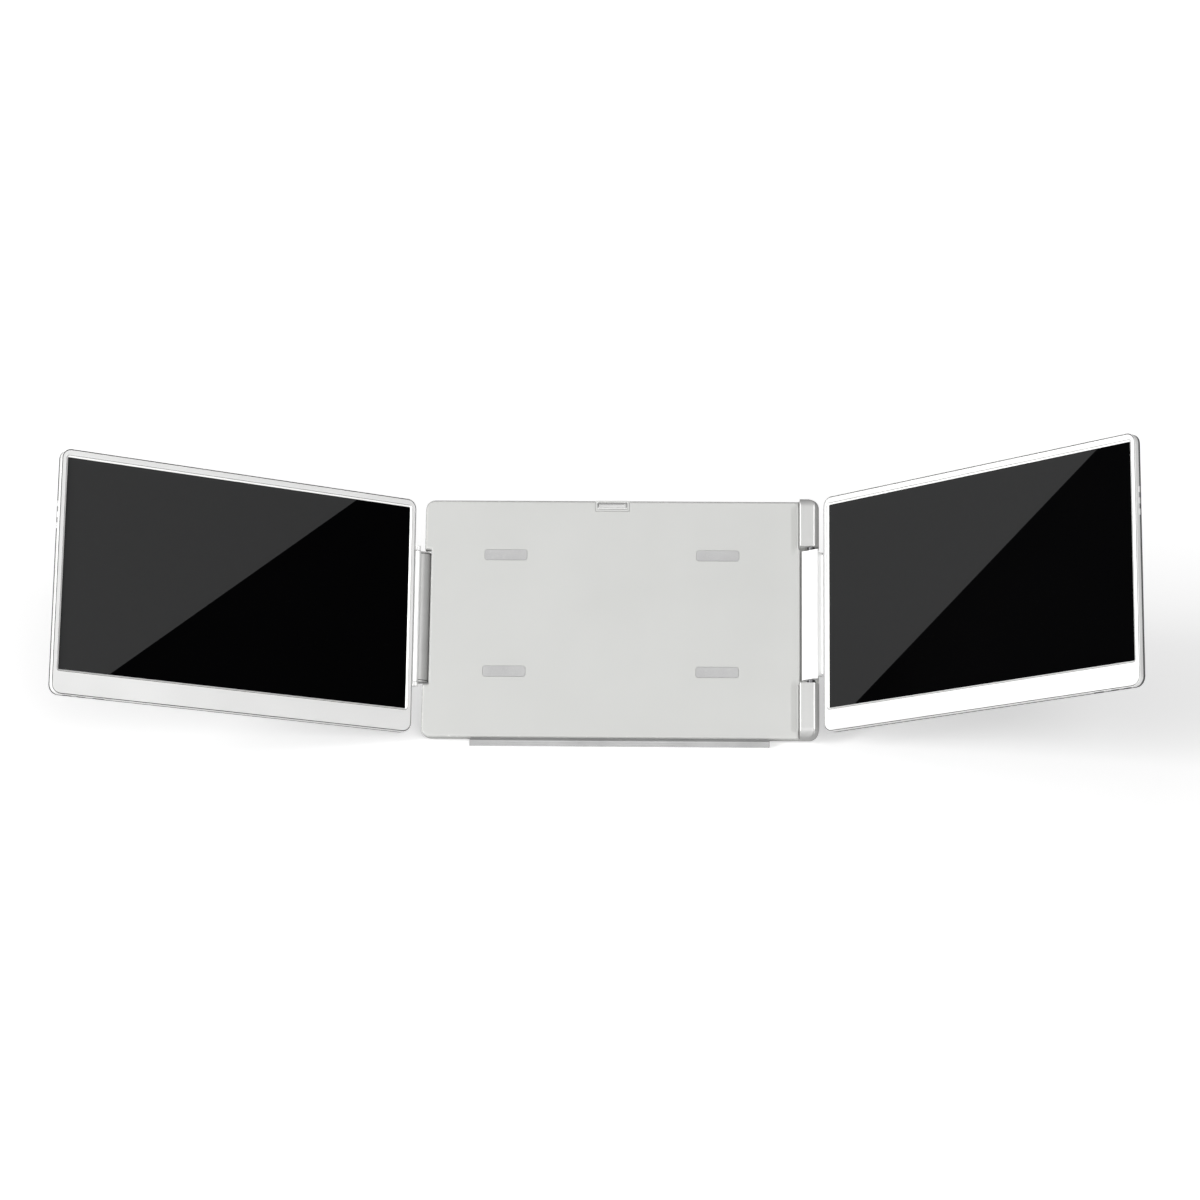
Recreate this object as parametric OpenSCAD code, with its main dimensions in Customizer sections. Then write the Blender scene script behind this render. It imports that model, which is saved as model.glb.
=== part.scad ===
// Tri-fold screen extender: a leaning centre panel with a screen hinged to each side.
// Panel coordinates: X to the right, Y from the front face into the panel, Z up along the panel.
// Screen coordinates: X outward from the hinge axis, Y into the screen, Z up along the panel.

/* [Display] */
// Width of each picture area
display_w = 344.2; // [300:0.1:360]
// Height of each picture area
display_h = 193.6; // [170:0.1:210]

/* [Screen case] */
// Case border at the left and right of the picture
bezel_side = 6.1; // [5.6:0.1:12]
// Case border above the picture
bezel_top = 7.6; // [5.6:0.1:14]
// Case border below the picture
bezel_bottom = 22.4; // [20:0.1:32]
// Thickness of a screen case
case_t = 8; // [7.6:0.1:10]
// Corner radius of a screen case
case_r = 9; // [5:0.5:12]
// Thickness of the case walls
case_wall = 1.4; // [1:0.1:1.6]
// Depth of the front frame
frame_d = 5; // [4.6:0.1:5.4]

/* [Centre panel] */
// Thickness of the centre panel
panel_t = 12; // [12:0.1:15]
// Corner radius of the centre panel
panel_r = 9; // [6:0.5:14]
// Thickness of the panel's skins
skin_t = 2; // [1.6:0.1:2.2]
// Depth of the front cover
cover_d = 8; // [7.8:0.1:8.4]
// Thickness of the steel stiffener
stiffener_t = 1.6; // [1:0.1:1.8]
// Panel height below the screens
low_margin = 3.6; // [2:0.1:8]
// Panel height above the screens
high_margin = 0.8; // [0.5:0.1:4]
// Lean of the panel back from upright
recline = 26; // [20:0.5:30]

/* [Hinges] */
// Opening of the left screen forward of the panel's plane
left_swing = 32; // [5:1:60]
// Opening of the right screen forward of the panel's plane
right_swing = 43; // [5:1:60]
// Space between the folded screens, and between a screen and the panel
fold_gap = 0.5; // [0.4:0.1:1]
// Distance of the left hinge axis outside the panel
left_axis_out = 6.3; // [5.8:0.1:8]
// Distance of the right hinge axis inside the panel's edge
right_axis_in = 7.5; // [7:0.1:8.5]
// Distance from the left hinge axis to its case
left_reach = 3; // [2.9:0.1:4]
// Distance from the right hinge axis to its case
right_reach = 15; // [14.6:0.1:18]
// Width of the hinge bosses
boss_w = 18.2; // [17.6:0.1:20]
// Height of the upper boss
upper_boss_h = 46.7; // [40:0.1:52]
// Height of the lower boss
lower_boss_h = 51; // [42:0.1:54]
// Radius of the right hinge pin
right_pin_r = 2.2; // [1.6:0.1:2.6]
// Radius of the left hinge pin
left_pin_r = 1.2; // [0.8:0.1:1.4]
// Outer radius of the left knuckles
knuckle_r = 2.5; // [2.2:0.1:2.6]
// Length of the left notch and its arm space
notch_h = 129.4; // [100:0.1:134]
// Depth of the left notch
notch_d = 6; // [5:0.1:8]

/* [Kickstand] */
// Distance from the kickstand's pin to its foot
kick_l = 132; // [115:1:134]
// Panel height left below the folded kickstand's pocket
kick_edge = 4; // [3:0.5:12]
// Width of the kickstand
kick_w = 150; // [90:1:200]
// Thickness of the kickstand plate
kick_t = 2.4; // [1.8:0.1:2.8]

/* [Top clip] */
// Width of the clip tab
clip_w = 32; // [26:0.5:44]
// Travel of the clip out of the panel
clip_travel = 22; // [10:1:26]

/* [Hidden] */
$fn = 64;

// Colours
silver = "#dcdcda";
frame_white = "#efefed";
steel = "#a9abae";
dark_steel = "#55585c";
rubber_grey = "#3c3d40";
shell_grey = "#7a7b7d";
pad_grey = "#8f9092";
glass_black = "#0b0c0e";
board_green = "#1f5a3c";

// General clearances
eps = 0.1;              // overshoot of a cut past a face
run_gap = 0.05;         // radial clearance of a turning pin
move_gap = 0.4;         // clearance beside a sliding or folding piece

// Derived sizes of the screen case
case_w = display_w + 2 * bezel_side;
case_h = display_h + bezel_top + bezel_bottom;
glass_margin = 1.5;     // overlap of the glass behind the frame
glass_t = 0.7;
cell_t = 1.4;
light_t = 1.5;
carrier_t = 0.5;
glass_y = 1.6;          // depth of the glass behind the frame's front
cell_y = glass_y + glass_t;
light_y = cell_y + cell_t;
carrier_y = light_y + light_t;
shell_y = frame_d;

// Derived sizes of the panel
boss_gap = 0.7;         // space between a folded screen and the bosses
panel_w = case_w + left_reach - left_axis_out + boss_gap + boss_w;
panel_h = case_h + low_margin + high_margin;
panel_left = -panel_w / 2;
panel_right = panel_w / 2;
boss_left = panel_right - boss_w;
wall_t = 2;             // thickness of the panel's rim walls
boss_rail = 2;          // solid plastic beside the bosses
inner_right = boss_left - boss_rail;
back_y = panel_t - skin_t;
stiffener_y = skin_t + stiffener_t;

// Derived hinge places
left_axis_x = panel_left - left_axis_out;
left_face_y = -0.5;     // case front, from the left axis
left_axis_y = left_face_y - fold_gap;
right_axis_x = panel_right - right_axis_in;
right_fold_y = fold_gap + case_t + fold_gap;
right_face_y = 0.3;     // case front, from the right axis
right_axis_y = -right_fold_y + right_face_y;
boss_d = right_fold_y + case_t;
recess_d = 3;
recess_h = panel_h - upper_boss_h - lower_boss_h;
notch_z = 50.6;
arm_gap = 2;            // space between the notch's ends and the arm
arm_z = notch_z + arm_gap;
arm_h = notch_h - 2 * arm_gap;
knuckle_h = 4;
knuckle_gap = 0.6;      // holds the thin washers
leaf_low_gap = 3.6;     // holds the friction stack
leaf_high_gap = 3.3;    // holds the upper spacer
leaf_z = lower_boss_h + leaf_low_gap;
leaf_h = panel_h - upper_boss_h - leaf_high_gap - leaf_z;

// Derived kickstand places
tray_d = 4.6;
tray_floor = 1.5;
tray_margin = 1;
kick_y = panel_t - tray_d / 2;
kick_foot_r = 1.9;
kick_knuckle_r = 2;
kick_pin_r = 1.1;
kick_lug_w = 6;
kick_pin_z = kick_edge + tray_margin + kick_foot_r + kick_l;
foot_gap = 1.6;         // space under the panel's rear lower edge
foot_depth = 18;
foot_w = 280;
panel_lift = panel_t * sin(recline) + foot_gap;
foot_step = 1;          // foot strip's top below the panel's front edge
panel_front = -3;
kick_axis_height = panel_lift - kick_y * sin(recline) + kick_pin_z * cos(recline);
kick_angle = recline + acos((kick_axis_height - kick_foot_r) / kick_l);

// Derived clip places
clip_x = (panel_left + boss_left) / 2;
clip_low = 10.2;         // height of the tab's visible part
clip_y = 6;             // depth of the tab
clip_stem_y = skin_t + 0.4;
clip_stem_w = clip_w - 8;
clip_hold = 24;         // stem left inside the panel when the clip is out
clip_stem_h = clip_travel + clip_hold;
hook_w = clip_w - 4;
hook_h = 5;
hook_t = 1.8;
hook_lip = 3.8;
hook_low = 3;           // hook pin below the panel's top
hook_axis_z = panel_h - hook_low;
hook_axis_y = 0.9;
hook_pin_r = 0.5;
hook_ear = 1.4;

// ---------- Placing ----------

// Puts panel coordinates where the leaning panel stands
module in_panel() {
  translate([0, panel_front, panel_lift]) rotate([-recline, 0, 0]) children();
}

// Puts screen coordinates on the left hinge
module on_left() {
  in_panel()
    translate([left_axis_x, left_axis_y, 0])
      rotate([0, 0, left_swing])
        mirror([1, 0, 0]) translate([0, 0, low_margin]) children();
}

// Puts screen coordinates on the right hinge
module on_right() {
  in_panel()
    translate([right_axis_x, right_axis_y, 0])
      rotate([0, 0, -right_swing]) translate([0, 0, low_margin]) children();
}

// Moves screen coordinates from the axis to the case's inner lower front corner
module left_case() {
  on_left() translate([left_reach, left_face_y, 0]) children();
}

module right_case() {
  on_right() translate([right_reach, right_face_y, 0]) children();
}

// ---------- Shared shapes ----------

// A sheet of thickness t from depth y, drawn as a flat shape in X and Z
module sheet(y, t) {
  translate([0, y + t, 0]) rotate([90, 0, 0]) linear_extrude(t) children();
}

module rounded(w, h, r) {
  translate([r, 0]) square([w - 2 * r, h]);
  translate([0, r]) square([w, h - 2 * r]);
  for (x = [r, w - r], z = [r, h - r])
    translate([x, z]) circle(r);
}

module inset(w, h, r, d) {
  translate([d, d]) rounded(w - 2 * d, h - 2 * d, max(r - d, 0.5));
}

module box(x, y, z, w, d, h) {
  translate([x, y, z]) cube([w, d, h]);
}

// A round bar along X
module bar_x(r, l) {
  rotate([0, 90, 0]) cylinder(r = r, h = l);
}

// A countersunk screw pointing to the front, with its head at depth y
module screw(y, head_r, head_t, shank_r, shank_l) {
  translate([0, y, 0]) rotate([90, 0, 0]) {
    cylinder(r = head_r, h = head_t);
    cylinder(r = shank_r, h = head_t + shank_l);
  }
}

// ---------- Centre panel ----------

panel_screw_r = 1.2;
panel_head_r = 2.4;
panel_head_t = 1.2;
post_r = 3.4;
post_gap = 0.2;
screw_edge = 14;        // from the panel's left edge to the nearest screws
screw_end = 12;         // from the panel's ends
screw_beside = 12;      // from the kickstand's pocket
screw_by_boss = 8;      // from the bosses' plastic
screw_zs = [screw_end, panel_h - screw_end];
pad_w = 40;
pad_h = 10;
pad_pocket = 1;
pad_t = 1.2;
pad_r = 2;
pad_left = 120;         // from the clip to the left pads
pad_right = 80;         // from the clip to the right pads
pad_end = 58;           // from the panel's ends to the pads
pad_xs = [clip_x - pad_left, clip_x + pad_right];
pad_zs = [pad_end, panel_h - pad_end];
pad_spots = [for (x = pad_xs, z = pad_zs) [x, z]];
tray_w = kick_w + 2 * tray_margin;
screw_inner = tray_w / 2 + screw_beside;
screw_xs = [panel_left + screw_edge, -screw_inner, screw_inner, inner_right - screw_by_boss];
tray_x = -tray_w / 2;
tray_z = kick_edge;
tray_top = kick_pin_z + kick_knuckle_r + tray_margin;
lug_down = 7;           // bracket length below the pin
lug_z = kick_pin_z - lug_down;
finger_r = 12;          // finger dip under the kickstand's foot
finger_d = 1.8;

module panel_outline() {
  difference() {
    translate([panel_left, 0]) rounded(panel_w, panel_h, panel_r);
    translate([panel_left - 1, notch_z]) square([notch_d + 1, notch_h]);
  }
}

module panel_cavity() {
  difference() {
    translate([panel_left + wall_t, wall_t])
      rounded(inner_right - panel_left - wall_t, panel_h - 2 * wall_t, panel_r - wall_t);
    translate([panel_left, notch_z - wall_t]) square([notch_d + wall_t, notch_h + 2 * wall_t]);
  }
}

module at_screws() {
  for (x = screw_xs, z = screw_zs)
    translate([x, 0, z]) children();
}

module clip_window(gap) {
  translate([clip_x - clip_w / 2 - gap, -1, panel_h - clip_low - gap])
    cube([clip_w + 2 * gap, clip_y + gap + 1, clip_low + gap + 1]);
}

module panel_front_cover() {
  color(silver) in_panel() {
    difference() {
      sheet(0, cover_d) panel_outline();
      sheet(skin_t, cover_d) panel_cavity();
      box(boss_left + move_gap, -1, lower_boss_h, boss_w, recess_d + 1, recess_h);
      for (p = pad_spots)
        translate([p[0], 0, p[1]]) sheet(-1, pad_pocket + 1) rounded(pad_w, pad_h, pad_r);
      clip_window(move_gap);
      boss_shanks(cover_d + eps, cover_d + 1);
    }
    at_screws() difference() {
      translate([0, back_y, 0]) rotate([90, 0, 0]) cylinder(r = post_r, h = back_y - skin_t);
      translate([0, back_y + eps, 0])
        rotate([90, 0, 0]) cylinder(r = panel_screw_r, h = back_y - stiffener_y);
    }
  }
}

module panel_back_cover() {
  pocket_y = panel_t - tray_d;
  floor_y = pocket_y - tray_floor;
  floor_t = tray_d + tray_floor - skin_t;
  lug_x = tray_x - kick_lug_w;
  lug_w = tray_w + 2 * kick_lug_w;
  color(silver) in_panel() difference() {
    union() {
      difference() {
        sheet(cover_d, panel_t - cover_d) panel_outline();
        sheet(cover_d - 1, back_y - cover_d + 1) panel_cavity();
      }
      box(lug_x - tray_floor, floor_y, lug_z - tray_floor,
          lug_w + 2 * tray_floor, floor_t, tray_top - lug_z + 2 * tray_floor);
      box(tray_x - tray_floor, floor_y, tray_z - tray_floor,
          tray_w + 2 * tray_floor, floor_t, tray_top - tray_z + 2 * tray_floor);
    }
    box(tray_x, pocket_y, tray_z, tray_w, tray_d + 1, tray_top - tray_z);
    box(lug_x, pocket_y, lug_z, lug_w, tray_d + 1, tray_top - lug_z);
    translate([0, panel_t + 1, tray_z]) rotate([90, 0, 0]) cylinder(r = finger_r, h = finger_d + 1);
    at_screws() {
      translate([0, panel_t + eps, 0]) rotate([90, 0, 0]) cylinder(r = panel_head_r, h = panel_head_t + eps);
      translate([0, panel_t + eps, 0]) rotate([90, 0, 0]) cylinder(r = panel_screw_r, h = skin_t + 2 * eps);
    }
  }
}

module panel_stiffener() {
  color(steel) in_panel() difference() {
    sheet(skin_t, stiffener_t)
      difference() {
        translate([panel_left + notch_d + 2 * wall_t, 2 * wall_t])
          square([inner_right - panel_left - notch_d - 3 * wall_t, panel_h - 4 * wall_t]);
        translate([clip_x - clip_w / 2 - clip_clear, stem_z - clip_clear])
          square([clip_w + 2 * clip_clear, clip_stem_h + clip_low + clip_clear]);
        for (x = screw_xs, z = screw_zs)
          translate([x, z]) circle(post_r + post_gap);
      }
  }
}

module panel_screws() {
  color(dark_steel) in_panel() at_screws()
    screw(panel_t, panel_head_r, panel_head_t, panel_screw_r, back_y - stiffener_y);
}

module lid_pads() {
  color(pad_grey) in_panel()
    for (p = pad_spots)
      translate([p[0], 0, p[1]]) sheet(pad_pocket - pad_t, pad_t) rounded(pad_w, pad_h, pad_r);
}

// A wedge under the panel's lower edge, flat on the table
module foot_strip() {
  color(pad_grey) difference() {
    box(-foot_w / 2, -foot_depth / 2, 0, foot_w, foot_depth, panel_lift - foot_step);
    in_panel() box(-foot_w, -foot_depth * 2, 0, 2 * foot_w, 4 * foot_depth, 4 * foot_depth);
  }
}

// ---------- Hinge bosses ----------

boss_edge_r = 4.5;      // rounding of the outer front edge
boss_end_r = 8.5;       // rounding of the far end's front edge
boss_pin_l = 16;        // pin length held in each boss
boss_screw_r = 1.2;
boss_screw_in = 4.5;    // from the panel's right edge
boss_screw_x = panel_right - boss_screw_in;
boss_screw_l = 6;
boss_screw_end = 14;    // from the panel's ends
boss_screw_next = 34;
boss_low_zs = [boss_screw_end, boss_screw_next];
boss_screw_zs = [for (z = boss_low_zs, up = [0, 1]) up == 0 ? z : panel_h - z];

module boss_plan() {
  difference() {
    translate([boss_left, -boss_d]) square([boss_w, boss_d]);
    translate([panel_right - boss_edge_r, -boss_d - 1]) square([boss_edge_r + 1, boss_edge_r + 1]);
  }
  translate([panel_right - boss_edge_r, -boss_d + boss_edge_r]) circle(boss_edge_r);
}

// Side shape of a boss, in Y and Z, with its far end at the top
module boss_side(h) {
  translate([-boss_d, 0]) square([boss_d, h - boss_end_r]);
  translate([-boss_d + boss_end_r, 0]) square([boss_d - boss_end_r, h]);
  translate([-boss_d + boss_end_r, h - boss_end_r]) circle(boss_end_r);
}

// A boss standing on z = 0, with its far end at z = h
module boss(h) {
  difference() {
    intersection() {
      linear_extrude(h) boss_plan();
      translate([boss_left - 1, 0, 0]) rotate([90, 0, 90]) linear_extrude(boss_w + 2) boss_side(h);
      sheet(-boss_d - 1, boss_d + 2)
        translate([boss_left - panel_r, -panel_r]) rounded(boss_w + panel_r, h + panel_r, panel_r);
    }
    translate([right_axis_x, right_axis_y, -eps]) cylinder(r = right_pin_r, h = boss_pin_l + eps);
  }
}

// The boss screws' shanks of length l, running forward from depth y
module boss_shanks(y, l) {
  for (z = boss_screw_zs)
    translate([boss_screw_x, y, z]) rotate([90, 0, 0]) cylinder(r = boss_screw_r, h = l);
}

module upper_hinge_boss() {
  color(silver) in_panel() difference() {
    translate([0, 0, panel_h - upper_boss_h]) boss(upper_boss_h);
    boss_shanks(eps, boss_screw_l + eps);
  }
}

module lower_hinge_boss() {
  color(silver) in_panel() difference() {
    translate([0, 0, lower_boss_h]) mirror([0, 0, 1]) boss(lower_boss_h);
    boss_shanks(eps, boss_screw_l + eps);
  }
}

module boss_screws() {
  color(dark_steel) in_panel() boss_shanks(cover_d, cover_d + boss_screw_l);
}

// ---------- Right hinge ----------

leaf_left = -8.5;
leaf_right = 11;
leaf_front = -4.5;
leaf_t = 3;
leaf_barrel_r = 4.5;
tongue_y = 2.2;         // depth of the hinge tongues behind the case front
tongue_t = 2.2;
tongue_in = 4.2;        // how far a tongue reaches into the case
tongue_end = 5;         // from the leaf's ends to its tongue
right_tongue_z = leaf_z - low_margin + tongue_end;
right_tongue_h = leaf_h - 2 * tongue_end;

module leaf_plan() {
  r = leaf_t / 2;
  translate([leaf_left + r, leaf_front]) square([leaf_right - leaf_left - 2 * r, leaf_t]);
  for (x = [leaf_left + r, leaf_right - r])
    translate([x, leaf_front + r]) circle(r);
  circle(leaf_barrel_r);
}

module right_hinge_leaf() {
  color(frame_white) on_right() difference() {
    union() {
      translate([0, 0, leaf_z - low_margin]) linear_extrude(leaf_h) {
        leaf_plan();
        translate([leaf_right - leaf_t, leaf_front + leaf_t / 2])
          square([leaf_t, right_face_y + tongue_y + tongue_t - leaf_front - leaf_t / 2]);
      }
      box(leaf_right - eps, right_face_y + tongue_y, right_tongue_z,
          right_reach + tongue_in - leaf_right + eps, tongue_t, right_tongue_h);
    }
    translate([0, 0, leaf_z - low_margin - eps]) cylinder(r = right_pin_r + run_gap, h = leaf_h + 2 * eps);
  }
}

module right_hinge_pin() {
  color(steel) in_panel()
    translate([right_axis_x, right_axis_y, lower_boss_h - boss_pin_l])
      cylinder(r = right_pin_r, h = recess_h + 2 * boss_pin_l);
}

washer_count = 4;
washer_gap = 0.3;
washer_r = 4.2;
spacer_r = 3.6;

// A ring on the right pin
module pin_ring(z, r, h) {
  translate([right_axis_x, right_axis_y, z]) difference() {
    cylinder(r = r, h = h);
    translate([0, 0, -eps]) cylinder(r = right_pin_r, h = h + 2 * eps);
  }
}

module right_hinge_washers() {
  t = (leaf_low_gap - washer_gap) / washer_count;
  color(dark_steel) in_panel() {
    for (i = [0 : washer_count - 1])
      pin_ring(lower_boss_h + i * t, i % 2 == 0 ? washer_r : spacer_r, t);
    pin_ring(panel_h - upper_boss_h - leaf_high_gap + washer_gap, spacer_r, leaf_high_gap - washer_gap);
  }
}

// ---------- Left hinge ----------

arm_out = 1.5;          // from the left axis to the arm's outer face
arm_left = left_axis_x + arm_out;
arm_round = 9;
arm_back_gap = 0.4;
arm_back = panel_t - arm_back_gap;
arm_slot = 0.8;         // from the arm's round to the notch

module arm_plan() {
  arm_right = panel_left + notch_d;
  round_x = arm_right - arm_round - arm_slot;
  front = move_gap - fold_gap;
  translate([arm_left, front]) square([round_x - arm_left, arm_back - front]);
  translate([arm_left, front + arm_round]) square([arm_right - arm_left, arm_back - front - arm_round]);
  intersection() {
    translate([round_x, front + arm_round]) circle(arm_round);
    translate([arm_left, front]) square([arm_right - arm_left, arm_round]);
  }
  translate([left_axis_x, left_axis_y]) circle(knuckle_r);
}

module left_hinge_arm() {
  color(steel) in_panel() difference() {
    translate([0, 0, arm_z]) linear_extrude(arm_h) arm_plan();
    translate([left_axis_x, left_axis_y, arm_z - eps]) cylinder(r = left_pin_r, h = arm_h + 2 * eps);
  }
}

knuckle_flat = 0.2;     // knuckle's web below its round
knuckle_clear = 0.3;    // between the web and the case
knuckle_zs = [arm_z - knuckle_gap - knuckle_h, arm_z + arm_h + knuckle_gap];

module left_hinge_knuckles() {
  web_y = -knuckle_r + knuckle_flat;
  tongue_back = left_face_y + tongue_y + tongue_t;
  color(frame_white) on_left()
    for (z = knuckle_zs)
      translate([0, 0, z - low_margin]) difference() {
        union() {
          cylinder(r = knuckle_r, h = knuckle_h);
          box(0, web_y, 0, left_reach - knuckle_clear, tongue_back - web_y, knuckle_h);
          box(0, left_face_y + tongue_y, 0, left_reach + tongue_in, tongue_t, knuckle_h);
        }
        translate([0, 0, -eps]) cylinder(r = left_pin_r + run_gap, h = knuckle_h + 2 * eps);
      }
}

module left_hinge_pin() {
  color(steel) in_panel()
    translate([left_axis_x, left_axis_y, knuckle_zs[0]])
      cylinder(r = left_pin_r, h = knuckle_zs[1] + knuckle_h - knuckle_zs[0]);
}

module left_hinge_washers() {
  t = knuckle_gap - washer_gap;
  color(dark_steel) in_panel()
    for (z = [arm_z - t, arm_z + arm_h])
      translate([left_axis_x, left_axis_y, z]) difference() {
        cylinder(r = knuckle_r - washer_gap, h = t);
        translate([0, 0, -eps]) cylinder(r = left_pin_r, h = t + 2 * eps);
      }
}

// ---------- Kickstand ----------

// Puts kickstand coordinates (Z down the leg is negative) on its pin at the open angle
module on_kickstand() {
  in_panel() translate([0, kick_y, kick_pin_z]) rotate([kick_angle, 0, 0]) children();
}

kick_window_w = 70;
kick_window_h = 34;
kick_window_r = 8;
kick_window_z = 28;     // from the foot to the window
kick_pin_end = 0.5;

module kickstand_plate() {
  color(silver) on_kickstand() difference() {
    union() {
      sheet(-kick_t / 2, kick_t) difference() {
        translate([-kick_w / 2, -kick_l]) square([kick_w, kick_l]);
        translate([-kick_window_w / 2, -kick_l + kick_window_z])
          rounded(kick_window_w, kick_window_h, kick_window_r);
      }
      translate([-kick_w / 2, 0, 0]) bar_x(kick_knuckle_r, kick_w);
    }
    translate([-kick_w / 2 - eps, 0, 0]) bar_x(kick_pin_r + run_gap, kick_w + 2 * eps);
    translate([-kick_w / 2 - eps, 0, -kick_l]) bar_x(kick_foot_r, kick_w + 2 * eps);
  }
}

module kickstand_foot() {
  color(rubber_grey) on_kickstand()
    translate([-kick_w / 2, 0, -kick_l]) bar_x(kick_foot_r, kick_w);
}

kick_pin_l = tray_w + 2 * (kick_lug_w - kick_pin_end);

module kickstand_pin() {
  color(steel) in_panel()
    translate([-kick_pin_l / 2, kick_y, kick_pin_z]) bar_x(kick_pin_r, kick_pin_l);
}

lug_gap = 0.2;          // brackets' backs below the back skin

module kickstand_brackets() {
  lug_w = kick_lug_w + tray_margin - move_gap;
  color(steel) in_panel() difference() {
    for (side = [-1, 1])
      translate([side * (tray_w / 2 + kick_lug_w - lug_w / 2), 0, 0])
        box(-lug_w / 2, panel_t - tray_d, lug_z, lug_w, tray_d - lug_gap, tray_top - lug_z);
    translate([-kick_pin_l / 2, kick_y, kick_pin_z]) bar_x(kick_pin_r, kick_pin_l);
  }
}

// ---------- Top clip ----------

clip_left = clip_x - clip_w / 2;
clip_base = panel_h - clip_low;
stem_x = clip_x - clip_stem_w / 2;
stem_z = clip_base - clip_stem_h;
hook_x = clip_x - hook_w / 2;
hook_under = 1.2;       // pocket space under the hook
hook_behind = 0.5;
hook_over = 0.3;
hook_lip_h = 1.6;
pocket_z = hook_axis_z - hook_h - hook_under;
pocket_top = hook_axis_z + hook_axis_y + hook_over;
clip_clear = 6;         // stiffener cut-out round the clip
rail_gap = 0.3;
rail_w = 3;
rail_low = 4;           // rails below the stem
rail_high = 2;          // rails above the stem's end
retainer_t = 1.2;
retainer_h = 10;
retainer_low = 14;      // from the tab's lower edge to the retainer

module clip_tab() {
  color(silver) in_panel() difference() {
    union() {
      box(clip_left, 0, clip_base, clip_w, clip_y, clip_low);
      box(stem_x, clip_stem_y, stem_z, clip_stem_w, clip_y - clip_stem_y, clip_stem_h + eps);
    }
    box(hook_x - move_gap, -1, pocket_z,
        hook_w + 2 * move_gap, 1 + hook_lip + hook_behind, pocket_top - pocket_z);
    translate([hook_x - move_gap - hook_ear, hook_axis_y, hook_axis_z])
      bar_x(hook_pin_r, hook_w + 2 * (move_gap + hook_ear));
  }
}

// A fold-out hook with a turned-in lip along its lower edge
module clip_hook() {
  color(steel) in_panel() difference() {
    union() {
      box(hook_x, 0, hook_axis_z - hook_h, hook_w, hook_t, hook_h);
      box(hook_x, 0, hook_axis_z - hook_h, hook_w, hook_lip, hook_lip_h);
      translate([hook_x, hook_axis_y, hook_axis_z]) bar_x(hook_axis_y, hook_w);
    }
    translate([hook_x - eps, hook_axis_y, hook_axis_z]) bar_x(hook_pin_r + run_gap, hook_w + 2 * eps);
  }
}

module clip_hook_pin() {
  color(dark_steel) in_panel()
    translate([hook_x - move_gap - hook_ear, hook_axis_y, hook_axis_z])
      bar_x(hook_pin_r, hook_w + 2 * (move_gap + hook_ear));
}

// Two rails on the front skin that the stem runs between
module clip_rails() {
  color(steel) in_panel()
    for (x = [stem_x - rail_gap - rail_w, stem_x + clip_stem_w + rail_gap])
      box(x, skin_t, stem_z - rail_low, rail_w, clip_y + rail_gap - skin_t, clip_stem_h + rail_high);
}

// A cross plate that holds the stem against the front skin
module clip_retainer() {
  color(steel) in_panel()
    box(stem_x - rail_gap - rail_w, clip_y + rail_gap, clip_base - retainer_low,
        clip_stem_w + 2 * (rail_gap + rail_w), retainer_t, retainer_h);
}

// ---------- Screens ----------
// Each shape is drawn in case coordinates and placed by left_case() or right_case()

vent_count = 8;
vent_pitch = 3.2;
vent_w = 1.4;
vent_h = 9;
vent_z = 7;
button_l = 6;
button_t = 2.2;
button_out = 0.5;
button_travel = 0.8;
button_rim = 1;         // flange that keeps a button in the case
button_slack = 0.2;
button_zs = [150, 160, 170];
button_y = 3.2;
flange_x = case_w - case_wall - button_slack - button_rim;
switch_t = 0.5;
switch_x = flange_x - button_travel - button_slack - switch_t;
switch_end = 1.5;
side_board_t = 0.6;
side_board_h = 4;
port_y = 2.6;
port_t = 3.2;
port_l = 6;
port_in = case_wall + 0.2;
usb_w = 9;
hdmi_w = 11.2;
outer_usb_in = 21;      // from the case's outer edge
low_usb_in = 34;        // from the case's outer edge
hdmi_in = 52;           // from the case's outer edge
outer_usb_x = case_w - outer_usb_in;
low_usb_x = case_w - low_usb_in;
hdmi_x = case_w - hdmi_in;
board_y = 5.8;
board_t = 0.8;
board_z = 4.5;
case_screw_r = 1;
case_screw_l = 2.8;
case_head_r = 1.9;
case_head_t = 0.7;
post_out_r = 2.2;
screw_in = 16;
screw_out = 70;
screw_low = 8;
case_xs = [screw_in, case_w - screw_out];
case_zs = [screw_low, case_h - case_wall - post_out_r];
case_spots = [for (x = case_xs, z = case_zs) [x, z]];

module case_outline() {
  rounded(case_w, case_h, case_r);
}

module case_hollow(d) {
  inset(case_w, case_h, case_r, d);
}

module picture(grow) {
  translate([bezel_side - grow, bezel_bottom - grow])
    square([display_w + 2 * grow, display_h + 2 * grow]);
}

// Puts a socket, drawn with its mouth towards +X and its width along Z, in the lower edge
module at_low_port(x) {
  translate([x, port_y, port_in]) rotate([0, 90, 0]) children();
}

module port_hole(w) {
  box(-port_l, -0.1, -0.1, port_l + port_in + 1, port_t + 0.2, w + 0.2);
}

// Openings in the case wall for the sockets and buttons
module edge_openings() {
  at_low_port(outer_usb_x) port_hole(usb_w);
  at_low_port(low_usb_x) port_hole(usb_w);
  at_low_port(hdmi_x) port_hole(hdmi_w);
  for (z = button_zs)
    box(case_w - case_wall - 1, button_y - 0.3, z - 0.3, case_wall + 2, button_t + 0.6, button_l + 0.6);
}

// Openings in the inner wall for the hinge tongues: [z, height] each
module tongue_openings(tongues) {
  for (t = tongues)
    box(-1, tongue_y, t[0], case_wall + 2, tongue_t, t[1]);
}

left_tongues = [for (z = knuckle_zs) [z - low_margin, knuckle_h]];
right_tongues = [[right_tongue_z, right_tongue_h]];

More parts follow.
